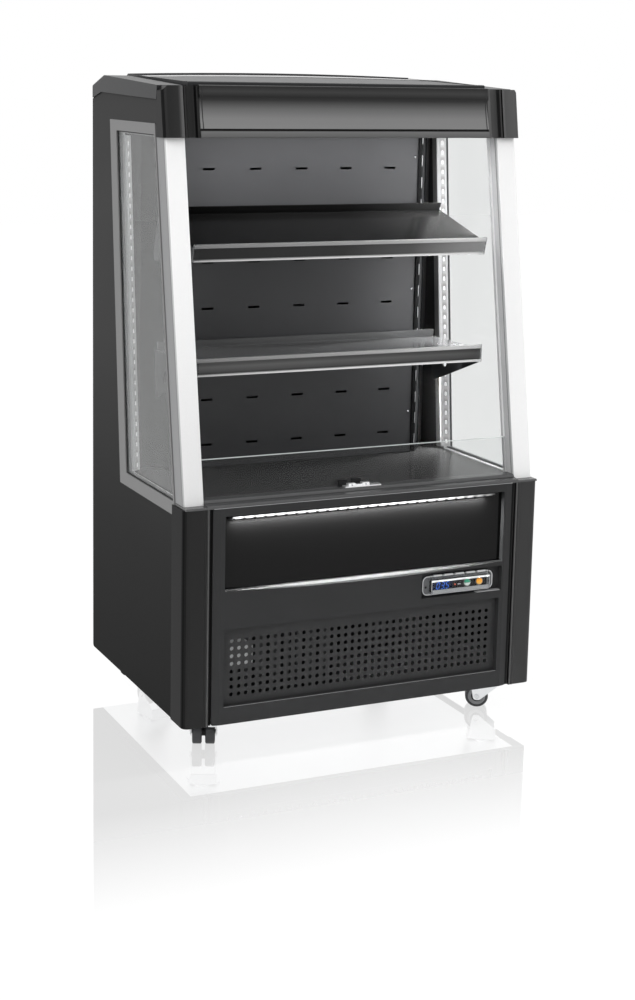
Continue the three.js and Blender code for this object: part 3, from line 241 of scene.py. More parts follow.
M = {
    # painted shade: the charcoal panels grow darker towards the bottom
    "panel": surface(
        "charcoal_panel", None, 0.5, level=0.03, tone=0.12, grain=700, bump=0.18,
        bands=("Z", [(0.07, 0.006), (0.4, 0.02), (0.8, 0.05), (1.1, 0.056), (1.33, 0.05)])),
    "roof": surface("charcoal_roof", (0.03, 0.0305, 0.032), 0.34, level=0.15, grain=700, bump=0.15),
    "roof_strip": surface("roof_strip", (0.03, 0.0303, 0.031), 0.07, level=0.45, scatter=0.02, bump=0.02),
    "moulding": surface("black_moulding", (0.014, 0.0142, 0.0146), 0.3, level=0.1, grain=1500, bump=0.2),
    # painted light and shade across X: thin bright bands on the beads are painted highlights, the dark band
    # on the recessed strip by the inner edge is painted shade, the right posts are painted lighter than the
    # left, and faces that look to -X take a painted shade
    "post": surface(
        "post_moulding", None, 0.36, level=0.05, tone=0.1, grain=1500, bump=0.2, side=PAINTED_SHADE_SIDE,
        bands=("X", [(-0.405, 0.024), (-0.3556, 0.026), (-0.3552, 0.13), (-0.3537, 0.13), (-0.3532, 0.03),
                     (-0.3505, 0.004), (-0.344, 0.004), (0.344, 0.01), (0.3505, 0.02), (0.352, 0.12),
                     (0.3545, 0.12), (0.3556, 0.05), (0.405, 0.052)])),
    # painted light and shade across X: thin bright bands are painted highlights, the right caps are painted
    # lighter than the left, and faces that look to -X take a painted shade
    "cap": surface(
        "cap_moulding", None, 0.3, level=0.08, tone=0.16, grain=1500, bump=0.15, side=PAINTED_SHADE_SIDE,
        bands=("X", [(-0.405, 0.018), (-0.372, 0.028), (-0.366, 0.12), (-0.3635, 0.12), (-0.362, 0.03),
                     (-0.328, 0.014), (0.328, 0.12), (0.3345, 0.1), (0.36, 0.03), (0.3635, 0.12),
                     (0.366, 0.12), (0.37, 0.085), (0.39, 0.1), (0.405, 0.06)])),
    # painted sheen and shade along the height: lighter over the lower part, darker at the top, with painted
    # shade in the groove above the lower trim
    "fascia": surface(
        "black_fascia", None, 0.24, level=0.18, tone=0.06, grain=1500, bump=0.08,
        bands=("Z", [(1.242, 0.1), (1.2548, 0.15), (1.2554, 0.004), (1.2596, 0.004), (1.2602, 0.21),
                     (1.28, 0.2), (1.3, 0.12), (1.316, 0.03), (1.323, 0.014), (1.333, 0.04),
                     (1.345, 0.012)])),
    "front": surface(
        "black_front", (0.032, 0.0323, 0.033), 0.34, level=0.11, tone=0.16, grain=1200, bump=0.15),
    "gloss": surface(
        "gloss_black", (0.003, 0.003, 0.003), 0.08, level=0.17, scatter=0.02, grain=60, bump=0.02),
    "grille": surface(
        "black_grille", (0.036, 0.0363, 0.037), 0.36, level=0.13, tone=0.12, grain=1200, bump=0.15),
    "sill": surface("grey_sill", (0.07, 0.0705, 0.072), 0.22, grain=900),
    # painted light and shade: the deck is lighter at the front and darker towards the back
    "deck": surface(
        "deck_black", None, 0.22, level=0.3, scatter=0.05, grain=900, bump=0.08,
        bands=("Y", [(-0.221, 0.07), (-0.196, 0.065), (-0.188, 0.04), (0.075, 0.03)])),
    "wall": surface("dark_wall", (0.05, 0.0505, 0.053), 0.36, level=0.35, tone=0.2, grain=900, bump=0.15),
    # lit and shaded copies of one shelf material: the lower shelf is painted lighter as a painted highlight,
    # the upper one is painted lighter towards the right
    "shelf_lower": surface(
        "dark_shelf_lower", (0.1, 0.101, 0.103), 0.15, level=0.55, scatter=0.05, tone=0.3, grain=900,
        bump=0.06, stretch=(0.2, 1, 1)),
    "shelf_upper": surface(
        "dark_shelf_upper", None, 0.2, level=0.14, scatter=0.05, tone=0.2, grain=900, bump=0.06,
        bands=("X", [(-0.33, 0.003), (0.1, 0.008), (0.33, 0.03)])),
    "bracket": surface("dark_bracket", (0.016, 0.0165, 0.0175), 0.35, level=0.35, grain=900, bump=0.2),
    "upright": surface("grey_upright", (0.012, 0.0122, 0.0126), 0.5, level=0.05, grain=900, bump=0.12),
    # lit and shaded copies of one satin aluminium: the left pillar is painted darker towards the bottom, and
    # on both pillars the faces that look to -X take a painted shade
    "pillar_left": surface(
        "satin_aluminium", None, 0.3, metal=0.15, tone=0.02, grain=260, bump=0.08, depth=0.00003,
        stretch=UPRIGHT_BRUSHED, side=(0.24, 0.242, 0.246),
        bands=("Z", [(0.53, 0.82), (0.75, 0.92), (1.0, 1.0), (1.24, 1.0)])),
    "pillar_right": surface(
        "satin_aluminium_right", (0.98, 0.98, 0.98), 0.3, metal=0.1, tone=0.02, grain=260, bump=0.08,
        depth=0.00003, stretch=UPRIGHT_BRUSHED, side=(0.6, 0.605, 0.61)),
    "aluminium": surface(
        "bright_aluminium", (0.9, 0.905, 0.91), 0.3, metal=0.8, tone=0.04, grain=260, bump=0.12),
    # painted highlight: the rail grows lighter towards the right
    "rail": surface(
        "brushed_rail", None, 0.3, metal=0.3, level=0.3, tone=0.06, scatter=0.08, grain=200, bump=0.05,
        depth=0.00002, stretch=BRUSHED,
        bands=("X", [(-0.34, 0.22), (-0.1, 0.3), (0.1, 0.42), (0.22, 0.6), (0.34, 0.72)])),
    # painted highlight: the bright lower line grows lighter towards the right
    "rail_line": surface(
        "rail_line", None, 0.24, metal=0.2, tone=0.03, grain=200, bump=0.04, depth=0.00002, stretch=BRUSHED,
        bands=("X", [(-0.34, 0.5), (0.0, 0.8), (0.34, 0.95)])),
    # lit and shaded copies of one label strip: painted sheen bands across the lower one's height, and the
    # upper one painted lighter towards the right
    "label_lower": surface(
        "rail_label_lower", None, 0.36, metal=0.2, tone=0.25, grain=160, level=0.2, depth=0.00003,
        stretch=(0.06, 9, 9),
        bands=("Z", [(0.767, 0.03), (0.773, 0.08), (0.782, 0.12), (0.788, 0.07), (0.792, 0.1)])),
    "label_upper": surface(
        "rail_label_upper", None, 0.36, metal=0.2, tone=0.25, grain=160, level=0.15, depth=0.00003,
        stretch=(0.06, 9, 9),
        bands=("X", [(-0.34, 0.025), (0.0, 0.04), (0.16, 0.11), (0.3, 0.34), (0.34, 0.45)])),
    # painted light: the right window frame is painted lighter than the left
    "anodised": surface(
        "grey_anodised", None, 0.36, metal=0.15, level=0.3, tone=0.06, grain=300, stretch=(9, 9, 0.4),
        bands=("X", [(-0.402, 0.2), (-0.38, 0.2), (0.38, 0.36), (0.402, 0.36)])),
    "zinc": surface(
        "zinc_plate", (0.72, 0.73, 0.74), 0.34, metal=1.0, tone=0.12, scatter=0.12, grain=220, bump=0.12),
    "steel": surface("screw_steel", (0.6, 0.61, 0.62), 0.25, metal=1.0, grain=900),
    "glass": surface(
        "clear_glass", (0.915, 0.922, 0.92), 0.0, tone=0.01, scatter=0.0, grain=3, bump=0.0, clear=1.0,
        ior=1.16),
    "edge": surface("glass_edge", (0.66, 0.7, 0.69), 0.15, grain=200, bump=0.05),
    "spacer": surface("grey_spacer", (0.3, 0.305, 0.31), 0.4, metal=0.3, grain=400, bump=0.15),
    "acrylic": surface(
        "clear_acrylic", (0.97, 0.98, 0.985), 0.02, tone=0.01, scatter=0.01, grain=30, bump=0.02, clear=1.0,
        ior=1.2),
    "milky": surface("milky_acrylic", (0.5, 0.51, 0.52), 0.3, tone=0.1, alpha=0.6),
    # painted highlight: a pale colour for the bezel's lip, the hood's front edge and its knuckles
    "shine": surface("painted_highlight_edge", (0.8, 0.81, 0.82), 0.18, level=0.6, bump=0.05),
    "rim": surface("clear_rim", (0.36, 0.365, 0.37), 0.16, level=0.6, tone=0.15, bump=0.05),
    # painted highlight: a crescent brightest near the middle, fading to both ends
    "scoop": surface(
        "scoop_painted_highlight", None, 0.14, tone=0.04, grain=400, bump=0.03,
        bands=("X", [(-0.318, 0.08), (-0.24, 0.13), (-0.1, 0.17), (0.08, 0.16), (0.2, 0.1), (0.28, 0.06),
                     (0.32, 0.03)])),
    "liner": surface("matt_liner", (0.006, 0.0061, 0.0063), 0.7, level=0.0, tone=0.1, grain=600),
    # painted light: the channel glows a little though it is no lamp
    "channel": surface(
        "lamp_channel", (0.64, 0.645, 0.65), 0.35, level=0.3, tone=0.03, grain=600, bump=0.05, glow=0.12),
    # painted highlight: pale lines along lit ledges and edges
    "line": surface("painted_highlight_line", (0.34, 0.343, 0.35), 0.2, tone=0.1, grain=400, bump=0.03),
    # painted light: the terminal box glows a little though it is no lamp
    "box": surface("pale_box", (0.72, 0.725, 0.73), 0.45, tone=0.05, glow=0.16),
    "frosted": surface("silver_bezel", (0.13, 0.133, 0.137), 0.3, metal=0.3, tone=0.3, grain=420, bump=0.25),
    # painted light: the white bead glows a little though it is no lamp
    "bead": surface(
        "white_bead", (0.8, 0.805, 0.81), 0.35, level=0.3, tone=0.03, grain=600, bump=0.05, glow=0.16),
    "led": surface("led_light", (0.95, 0.95, 0.95), 0.4, tone=0.0, grain=300, bump=0.0, glow=0.4),
    "foam": surface("white_liner", (0.7, 0.7, 0.7), 0.5, grain=300, bump=0.15),
    "fin": surface(
        "fin_aluminium", (0.1, 0.102, 0.105), 0.35, metal=0.6, grain=300, bump=0.2, stretch=(1, 1, 6)),
    "motor": surface("black_steel", (0.02, 0.02, 0.021), 0.35, grain=700, bump=0.25),
    "blue": surface("blue_segments", (0.015, 0.12, 0.6), 0.3, grain=300, bump=0.0, glow=0.5),
    "display": surface("display_window", (0.005, 0.012, 0.04), 0.1, level=0.2, grain=60, bump=0.02),
    "red": surface("red_lamp", (0.55, 0.09, 0.05), 0.3, grain=300, bump=0.02, glow=0.4),
    "tread": surface("grey_tread", (0.05, 0.051, 0.054), 0.5, bump=0.4),
    "ring": surface("light_ring", (0.3, 0.303, 0.31), 0.4, bump=0.25),
    "hub": surface("black_hub", (0.01, 0.01, 0.0105), 0.4, level=0.3, grain=700, bump=0.3),
    "rubber": surface("black_rubber", (0.015, 0.015, 0.015), 0.7, grain=600, bump=0.4),
    "green": surface(
        "green_lens", None, 0.12, tone=0.04, grain=300, bump=0.03, glow=0.25,
        bands=("Z", [(0.306, (0.8, 0.86, 0.82)), (0.3108, (0.75, 0.82, 0.78)), (0.3122, (0.02, 0.26, 0.14)),
                     (0.318, (0.03, 0.34, 0.2))])),
    "orange": surface(
        "orange_lens", None, 0.12, tone=0.04, grain=300, bump=0.03, glow=0.25,
        bands=("Z", [(0.304, (1.0, 0.62, 0.2)), (0.312, (0.95, 0.4, 0.02)), (0.318, (0.85, 0.3, 0.01))])),
    "corner_lens": surface(
        "corner_lens", None, 0.3, tone=0.02, glow=0.3, pools=(LED_PITCH, 0.75),
        bands=("Z", [(0.5, 0.45), (1.15, 0.5), (1.2, 0.68)])),
    "front_lens": surface(
        "front_lens", None, 0.3, tone=0.02, glow=1.6, pools=(FRONT_LED_PITCH, 0.5),
        bands=("X", [(-0.31, 0.2), (-0.302, 0.9), (0.165, 0.9), (0.29, 0.12), (0.305, 0.03)])),
}

LOOKS = {  # which nodes wear a material, by the start of their names
    "panel": "side_panel rear_panel", "roof": "roof_panel", "wall": "rear_cover back_wall",
    "post": "corner_post", "cap": "header_cap", "fascia": "header_fascia",
    "moulding": "air_honeycomb controller", "sill": "front_rail", "front": "front_panel",
    "gloss": "recess_panel", "grille": "grille", "frosted": "controller_bezel", "acrylic": "controller_cover",
    "motor": "condenser_shroud compressor", "hub": "condenser_fan evaporator_fan",
    "fin": "condenser evaporator", "zinc": "base_pan castor_fork", "rubber": "cord_gland",
    "upright": "shelf_upright", "deck": "deck_tray", "foam": "insulated_tub", "shelf_lower": "shelf_lower",
    "shelf_upper": "shelf_upper", "bracket": "bracket", "rail": "price_rail", "pillar_left": "pillar_left",
    "pillar_right": "pillar_right", "anodised": "window_frame", "glass": "window_glass front_glass",
    "bead": "led_strip", "aluminium": "blind_catch", "green": "button_green", "orange": "button_orange",
    "tread": "castor_wheel",
}
LOOK = {node: look for look, nodes in LOOKS.items() for node in nodes.split()}
SOFT_EDGES = {  # widths in millimetres
    "side_panel": 1.2, "roof_panel": 1.5, "rear_panel": 1.0, "corner_post": 0.8, "header_cap": 0.8,
    "header_fascia": 0.8, "front_panel": 0.9, "front_rail": 0.6, "recess_panel": 0.3, "pillar": 0.5,
    "window_frame": 0.6, "deck_tray": 0.4, "shelf_lower": 0.35, "shelf_upper": 0.35, "bracket": 0.4,
    "price_rail": 0.3, "shelf_upright": 0.25, "back_wall": 0.25, "led_strip": 0.3, "castor_fork": 0.5,
    "blind_catch": 0.4, "controller": 0.4, "base_pan": 0.4, "insulated_tub": 1.0, "compressor": 1.0,
}


def dress_nodes():
    """A material and soft edges for each solid."""
    for name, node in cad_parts.items():
        key = max((k for k in LOOK if name.startswith(k)), key=len)
        node.data.materials.clear()
        node.data.materials.append(M[LOOK[key]])
        soften(node, next((w for k, w in SOFT_EDGES.items() if name.startswith(k)), 0.0))


def soften(target, width):
    """Rounds the sharp edges by a width in millimetres, and shades the flats flat."""
    if width:
        bevel = target.modifiers.new("edges", "BEVEL")
        bevel.width = width * MM
        bevel.segments = 2
        bevel.limit_method = "ANGLE"
        bevel.angle_limit = math.radians(40)
        bevel.harden_normals = True
        target.data.polygons.foreach_set("use_smooth", [True] * len(target.data.polygons))


dress_nodes()


# ---- piece helpers
def piece(name, vertices, faces, material, body="cabinet", slot=None, smooth=False, bevel=0.0):
    """A new object that rides on a body; the bevel is in millimetres."""
    mesh = bpy.data.meshes.new(name)
    mesh.from_pydata([tuple(v) for v in vertices], [], faces)
    mesh.update()
    made = bpy.data.objects.new(name, mesh)
    bpy.context.scene.collection.objects.link(made)
    mesh.materials.append(M[material])
    whole = bmesh.new()
    whole.from_mesh(mesh)
    bmesh.ops.recalc_face_normals(whole, faces=whole.faces)
    whole.to_mesh(mesh)
    whole.free()
    if smooth:
        mesh.polygons.foreach_set("use_smooth", [True] * len(mesh.polygons))
        mesh.set_sharp_from_angle(angle=math.radians(35))
    soften(made, bevel)
    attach(made, body)
    return made


def shell(n):
    """The faces of a solid between two outlines of n points each."""
    return [list(range(n)), list(range(n, 2 * n))] + [[i, (i + 1) % n, n + (i + 1) % n, n + i]
                                                      for i in range(n)]


def prism(outline, low, high, axis, at=Matrix.Identity(4)):
    """Vertices and faces of an outline drawn along an axis: 0 for [y, z], 1 for [x, z], 2 for [x, y]."""
    order = {0: lambda a, b, c: (c, a, b), 1: lambda a, b, c: (a, c, b), 2: lambda a, b, c: (a, b, c)}[axis]
    return [at @ Vector(order(a, b, level)) for level in (low, high) for a, b in outline], shell(len(outline))


def rounded(a0, a1, b0, b1, r, steps=6):
    """A rectangle with round corners as a list of points."""
    points = []
    for ca, cb, start in ((a1 - r, b1 - r, 0), (a0 + r, b1 - r, 90), (a0 + r, b0 + r, 180),
                          (a1 - r, b0 + r, 270)):
        for k in range(steps + 1):
            t = math.radians(start + 90 * k / steps)
            points.append((ca + r * math.cos(t), cb + r * math.sin(t)))
    return points


def bar(x0, x1, y0, y1, z0, z1, r=0.0002):
    """A bar along X with slightly rounded edges."""
    return prism(rounded(y0, y1, z0, z1, r, 2), x0, x1, 0)


def lathe(profile, segments, at):
    """Vertices and faces of a closed profile [radius, length] turned about its axis, then placed."""
    vertices, faces = [], []
    for r, x in profile:
        for k in range(segments):
            t = 2 * math.pi * k / segments
            vertices.append(at @ Vector((r * math.cos(t), r * math.sin(t), x)))
    rows = len(profile)
    for i in range(rows - 1):
        for k in range(segments):
            n = (k + 1) % segments
            faces.append([i * segments + k, i * segments + n, (i + 1) * segments + n, (i + 1) * segments + k])
    faces.append(list(range(segments)))
    faces.append([(rows - 1) * segments + k for k in range(segments)])
    return vertices, faces


def merge(parts):
    """Several meshes as one."""
    vertices, faces = [], []
    for v, f in parts:
        base = len(vertices)
        vertices += v
        faces += [[base + i for i in face] for face in f]
    return vertices, faces


ALONG_X = Matrix.Rotation(math.radians(90), 4, "Y")


def turned(profile, segments, x, y, z):
    """A lathe shape whose length runs towards the front from a place."""
    return lathe(profile, segments, Matrix.Translation((x, y, z)) @ Matrix.Rotation(math.radians(90), 4, "X"))


# ---- grille with round holes
HOLE_PITCH = 0.016
HOLE_RADIUS = 0.0042
HOLE_COLUMNS, HOLE_ROWS = 38, 8
HOLE_FIELD_Z = 0.18825  # middle of the field of holes
CLOSE = 1e-6


def perforated_sheet():
    low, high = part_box("grille")
    pitch, r, steps = HOLE_PITCH, HOLE_RADIUS, 24
    columns, rows = HOLE_COLUMNS, HOLE_ROWS
    x0, z0 = -(columns / 2) * pitch, HOLE_FIELD_Z - (rows / 2) * pitch
    front, back = low.y, high.y
    vertices, faces, known = [], [], {}

    def vertex(x, y, z):
        key = (round(x, 6), round(y, 6), round(z, 6))
        if key not in known:
            known[key] = len(vertices)
            vertices.append((x, y, z))
        return known[key]

    ring = [math.radians(360 * k / steps) for k in range(steps)]
    reach = [pitch / 2 / max(abs(math.cos(t)), abs(math.sin(t))) for t in ring]
    around = [(k, (k + 1) % steps) for k in range(steps)]
    for column in range(columns):
        for row in range(rows):
            cx, cz = x0 + (column + 0.5) * pitch, z0 + (row + 0.5) * pitch
            loops = {}
            for y in (front, back):
                inner = [vertex(cx + r * math.cos(t), y, cz + r * math.sin(t)) for t in ring]
                outer = [vertex(cx + d * math.cos(t), y, cz + d * math.sin(t)) for t, d in zip(ring, reach)]
                loops[y] = inner
                faces.extend([inner[k], outer[k], outer[n], inner[n]] for k, n in around)
            near, far = loops[front], loops[back]
            faces.extend([near[k], near[n], far[n], far[k]] for k, n in around)
    x1, z1 = x0 + columns * pitch, z0 + rows * pitch
    edges = [(0, x0, (low.x, high.z), (low.x, low.z)), (0, x1, (high.x, high.z), (high.x, low.z)),
             (2, z0, (high.x, low.z), (low.x, low.z)), (2, z1, (high.x, high.z), (low.x, high.z))]
    for y in (front, back):
        for axis, place, a, b in edges:
            edge = [i for k, i in known.items() if abs(k[1] - y) < CLOSE and abs(k[axis] - place) < CLOSE]
            border = sorted(edge, key=lambda i: (vertices[i][0], vertices[i][2]))
            faces.append(border + [vertex(a[0], y, a[1]), vertex(b[0], y, b[1])])
    corners = [(low.x, low.z), (high.x, low.z), (high.x, high.z), (low.x, high.z)]
    for (xa, za), (xb, zb) in zip(corners, corners[1:] + corners[:1]):
        faces.append([vertex(xa, front, za), vertex(xb, front, zb), vertex(xb, back, zb),
                      vertex(xa, back, za)])
    sheet = piece("perforated_grille", vertices, faces, "grille", slot="black_moulding")
    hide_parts("grille")


perforated_sheet()


# ---- side windows and their lights
SIDES = {-1: "left", 1: "right"}
CORNER_POWER = {"left": 1.0, "right": 6.0}  # watts
EDGE_REBATE = 0.0047  # the glass reaches this far behind the frame's visible edge


def offset(points, d):
    """A convex counter-clockwise outline, moved inwards by d."""
    moved, n = [], len(points)
    for i in range(n):
        p, q, r = (Vector(points[(i + k) % n]) for k in (-1, 0, 1))
        a, b = (q - p).normalized(), (r - q).normalized()
        na, nb = Vector((-a.y, a.x)), Vector((-b.y, b.x))
        middle = (na + nb).normalized()
        moved.append(tuple(q + middle * (d / middle.dot(na))))
    return moved


def ring(outer, inner, low, high, axis, at=Matrix.Identity(4)):
    """A closed band between two outlines with the same number of points."""
    n = len(outer)
    vertices = prism(outer, low, high, axis, at)[0] + prism(inner, low, high, axis, at)[0]
    faces = []
    for i in range(n):
        j = (i + 1) % n
        faces += [[i, j, 2 * n + j, 2 * n + i], [n + i, n + j, 3 * n + j, 3 * n + i],
                  [i, j, n + j, n + i], [2 * n + i, 2 * n + j, 3 * n + j, 3 * n + i]]
    return vertices, faces


def pane_outline(side):
    """The pane's corners [y, z] in order about its middle."""
    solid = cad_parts["window_glass_" + SIDES[side]]
    points = {(round(v.co.y, 5), round(v.co.z, 5)) for v in solid.data.vertices}
    cy, cz = (sum(p[k] for p in points) / len(points) for k in (0, 1))
    return sorted(points, key=lambda p: math.atan2(p[1] - cz, p[0] - cy))


def window(side):
    """Two panes with a spacer, a bead inside and a gasket outside; gives the outline of the frame's hole."""
    outline = pane_outline(side)
    name = SIDES[side]
    skin = side * PANE_SKIN
    panes = merge([prism(outline, skin - side * a, skin - side * (a + PANE), 0) for a in (0.0, 0.010)])
    unit = piece("window_panes_" + name, *panes, "glass", slot="clear_glass", bevel=0.3)
    gap = ring(outline, offset(outline, 0.009), skin - side * 0.0041, skin - side * 0.0099, 0)
    spacer = piece("window_spacer_" + name, *gap, "spacer", slot="grey_anodised")
    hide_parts("window_glass_" + name)
    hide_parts("window_glass_" + name)
    hole = offset(outline, EDGE_REBATE)
    inner = side * HALF_INNER
    bead = ring(offset(hole, -0.0045), offset(hole, 0.0008), inner - side * 0.0016, inner + side * 0.0042, 0)
    piece("window_bead_" + name, *bead, "bead", slot="lamp_white", bevel=0.7)
    gasket = ring(offset(hole, -0.0006), offset(hole, 0.0022), skin - side * 0.0002, skin + side * 0.0012, 0)
    piece("window_gasket_" + name, *gasket, "rubber", slot="black_rubber", bevel=0.4)
    return hole


def corner_light(side, hole):
    """Slanting channel in the corner: a white ridge, a groove, and a lens over a row of light points."""
    name = SIDES[side]
    rear = sorted(hole, key=lambda p: -p[0])[:2]
    foot, top = sorted(rear, key=lambda p: p[1])
    angle = math.atan2(top[0] - foot[0], top[1] - foot[1])
    length = (top[1] - foot[1]) / math.cos(angle) - 0.016
    corner = Matrix.Translation((side * 0.3835, foot[0] - 0.0006, foot[1] + 0.005))
    at = corner @ Matrix.Rotation(-angle, 4, "X")
    along, out = Vector((1, -1)) / math.sqrt(2), Vector((-1, -1)) / math.sqrt(2)
    start = Vector((-0.016, -0.003))

    def slant(s, h):
        p = start + along * s * MM + out * h * MM
        return (side * p.x, p.y)

    ridge = [slant(0, 0), slant(5, 0.4), slant(5.6, 0), slant(5.6, -2.4), slant(7.4, -2.4), slant(7.4, -1.6),
             slant(17.4, -1.6), slant(17.4, 0), slant(18.4, 0)]
    channel = [(0, 0), (side * -0.016, 0)] + ridge + [(0, -0.016)]
    body = piece("corner_channel_" + name, *prism(channel, 0, length, 2, at), "channel",
                 slot="lamp_white", bevel=0.25)
    lens = [slant(7.6, -1.55), slant(7.6, -0.9), slant(9, -0.3), slant(16, -0.3), slant(17.2, -0.9),
            slant(17.2, -1.55)]
    cover = piece("corner_lens_" + name, *prism(lens, 0.002, length - 0.002, 2, at), "corner_lens",
                  slot="lamp_white")
    dots = []
    facing = Vector((-side, -1, 0)).to_track_quat("Z", "Y").to_matrix().to_4x4()
    for k in range(int((length - 0.02) / LED_PITCH) + 1):
        x, y = slant(12.4, -0.3)
        spot = at @ Matrix.Translation((x, y, 0.012 + k * LED_PITCH)) @ facing
        dots.append(prism(rounded(-0.0022, 0.0022, -0.0046, 0.0046, 0.0016, 2), -0.0003, 0.0004, 2, spot))
    leds = piece("corner_leds_" + name, *merge(dots), "led", slot="lamp_white")
    for made in (body, cover, leds):
        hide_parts("led_strip_" + name)
    middle = at @ Vector((side * -0.0125, -0.0125, length / 2))
    away = Vector((-side * 0.7, -0.7, 0))
    area_light("corner_lamp_" + name, middle + 0.006 * away, middle + away, (0.012, length * 0.95),
               CORNER_POWER[name], hidden=True)


for side in SIDES:
    corner_light(side, window(side))
area_light("bay_lamp", (0.335, -0.10, 0.96), (0.12, 0.065, 0.98), (0.03, 0.52), 1.35, hidden=True)
area_light("canopy_lamp", (0, -0.04, 1.262), (0, 0.03, 0.6), (0.58, 0.03), 1.6, hidden=True)


# ---- light over the gloss panel
def front_light():
    low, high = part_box("led_strip_front")
    top = high.z - 0.0024
    section = [(high.y, low.z + 0.001), (high.y, top), (low.y, top), (low.y, high.z - 0.004),
               (low.y + 0.0012, high.z - 0.0052), (high.y - 0.0035, low.z), (high.y - 0.001, low.z)]
    base = prism(rounded(low.y, high.y, top + 0.0001, high.z, 0.0004, 2), low.x, high.x, 0)
    seat = piece("front_lens_base", *base, "moulding", slot="black_moulding", bevel=0.2)
    lens = piece("front_lens", *prism(section, low.x + 0.002, high.x - 0.002, 0), "front_lens",
                 slot="lamp_white", bevel=0.4)
    ends = merge([prism(section, x, x + 0.0078, 0) for x in (low.x - 0.006, high.x - 0.0018)])
    caps = piece("front_lens_ends", *ends, "moulding", slot="black_moulding", bevel=0.5)
    for made in (seat, lens, caps):
        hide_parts("led_strip_front")
    y, z = low.y + 0.003, low.z - 0.003
    area_light("front_lamp", (-0.012, y, z), (-0.012, y - 0.004, z - 0.5), (0.58, 0.005), 3.5, hidden=True)
    places = [-0.2990 + FRONT_LED_PITCH * k for k in range(27)]
    teeth = [prism(rounded(x - 0.0022, x + 0.0022, low.y - 0.0004, low.y + 0.003, 0.0006, 2), low.z - 0.0012,
                   low.z + 0.0019, 2) for x in places]
    piece("front_lens_clips", *merge(teeth), "moulding", slot="black_moulding")


front_light()


# ---- control unit
FASCIA_Y = -0.2713  # face of the control unit
WINDOW_Y, FIGURE_Y = FASCIA_Y - 0.0006, FASCIA_Y - 0.0009  # faces of its display
DOTS_Z = 0.3098  # height of its small lamps


def disc(x, z, r, y0, y1, segments=32, crown=0.0):
    """A round plate facing the front, with a rounded rim and a crowned face."""
    t = y0 - y1
    rim = min(t * 0.4, r * 0.15)
    profile = [(0.0001, 0), (r, 0), (r, t - rim), (r - rim * 0.3, t - rim * 0.3), (r - rim, t),
               (r * 0.6, t + crown * 0.6), (r * 0.25, t + crown * 0.95), (0.0001, t + crown)]
    return turned(profile, segments, x, y0, z)


def hoop(x, z, r0, r1, y0, y1, segments=40):
    """A round ring facing the front, with a rounded face."""
    t = y0 - y1
    profile = [(r0, 0), (r1, 0), (r1, t * 0.6), ((r0 + r1) / 2, t), (r0, t * 0.6)]
    vertices, faces = turned(profile + profile[:1], segments, x, y0, z)
    count = len(profile)
    faces = [[i % (count * segments) for i in face] for face in faces[:-2]]
    return vertices[:count * segments], faces


SEGMENTS = {"a": (0, 1, 1, 1), "b": (1, 0.5, 1, 1), "c": (1, 0, 1, 0.5), "d": (0, 0, 1, 0),
            "e": (0, 0, 0, 0.5), "f": (0, 0.5, 0, 1), "g": (0, 0.5, 1, 0.5)}
DIGITS = {"0": "abcdef", "3": "abcdg", "5": "acdfg"}


def digit(figure, x, z, width, height, thick):
    """A slanting seven-segment figure on the display."""
    parts = []
    for name in DIGITS[figure]:
        a0, b0, a1, b1 = SEGMENTS[name]
        p, q = Vector((a0 * width, b0 * height)), Vector((a1 * width, b1 * height))
        run = (q - p).normalized()
        across = Vector((-run.y, run.x)) * thick / 2
        p, q = p + run * thick * 0.35, q - run * thick * 0.35
        shape = [p, p + run * thick / 2 + across, q - run * thick / 2 + across, q,
                 q - run * thick / 2 - across, p + run * thick / 2 - across]
        slanted = [(x + c.x + 0.22 * c.y, z + c.y) for c in shape]
        parts.append(prism(slanted, FIGURE_Y, WINDOW_Y, 1))
    return merge(parts)


def control_unit():
    low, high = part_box("controller")
    outline = rounded(low.x + 0.005, low.x + 0.054, low.z + 0.0015, high.z - 0.0015, 0.002)
    piece("display_window", *prism(outline, WINDOW_Y, FASCIA_Y + 0.0002, 1), "display", slot="gloss_black",
          bevel=0.2)
    figures = merge([digit(f, low.x + 0.0145 + k * 0.0112, low.z + 0.0046, 0.0064, 0.0135, 0.0018)
                     for k, f in enumerate("035")])
    point = disc(low.x + 0.0345, low.z + 0.0046, 0.0011, WINDOW_Y, FIGURE_Y, 12)
    piece("display_figures", *merge([figures, point]), "blue", slot="gloss_black")
    piece("red_lamp", *disc(0.2164, DOTS_Z, 0.0018, FASCIA_Y, FASCIA_Y - 0.0012, 20, 0.0006), "red",
          slot="orange_lens", smooth=True)
    dots = [disc(x, DOTS_Z, 0.0012, FASCIA_Y, FASCIA_Y - 0.0006, 14, 0.0002) for x in (0.2245, 0.2285)]
    piece("key_dots", *merge(dots), "bead", slot="lamp_white", smooth=True)
    hoops = []
    for name in ("green", "orange"):
        low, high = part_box("button_" + name)
        x, z, r = (low.x + high.x) / 2, (low.z + high.z) / 2, (high.x - low.x) / 2
        cap = piece("push_button_" + name, *disc(x, z, r, high.y, low.y + 0.0012, 48, 0.0012), name,
                    body=name + "_button", slot=name + "_lens", smooth=True)
        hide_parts("button_" + name)
        hoops.append(hoop(x, z, r + 0.0004, r + 0.0022, FASCIA_Y, FASCIA_Y - 0.0012))
    piece("button_hoops", *merge(hoops), "frosted", slot="satin_aluminium", smooth=True)


def screw(x, z, y, r=0.0026):
    """A round head with a dimple, facing the front."""
    profile = [(0.0001, 0), (r, 0), (r, 0.0004), (r * 0.8, 0.0011), (r * 0.45, 0.0014), (r * 0.42, 0.0006),
               (0.0001, 0.0006)]
    return turned(profile, 20, x, y, z)


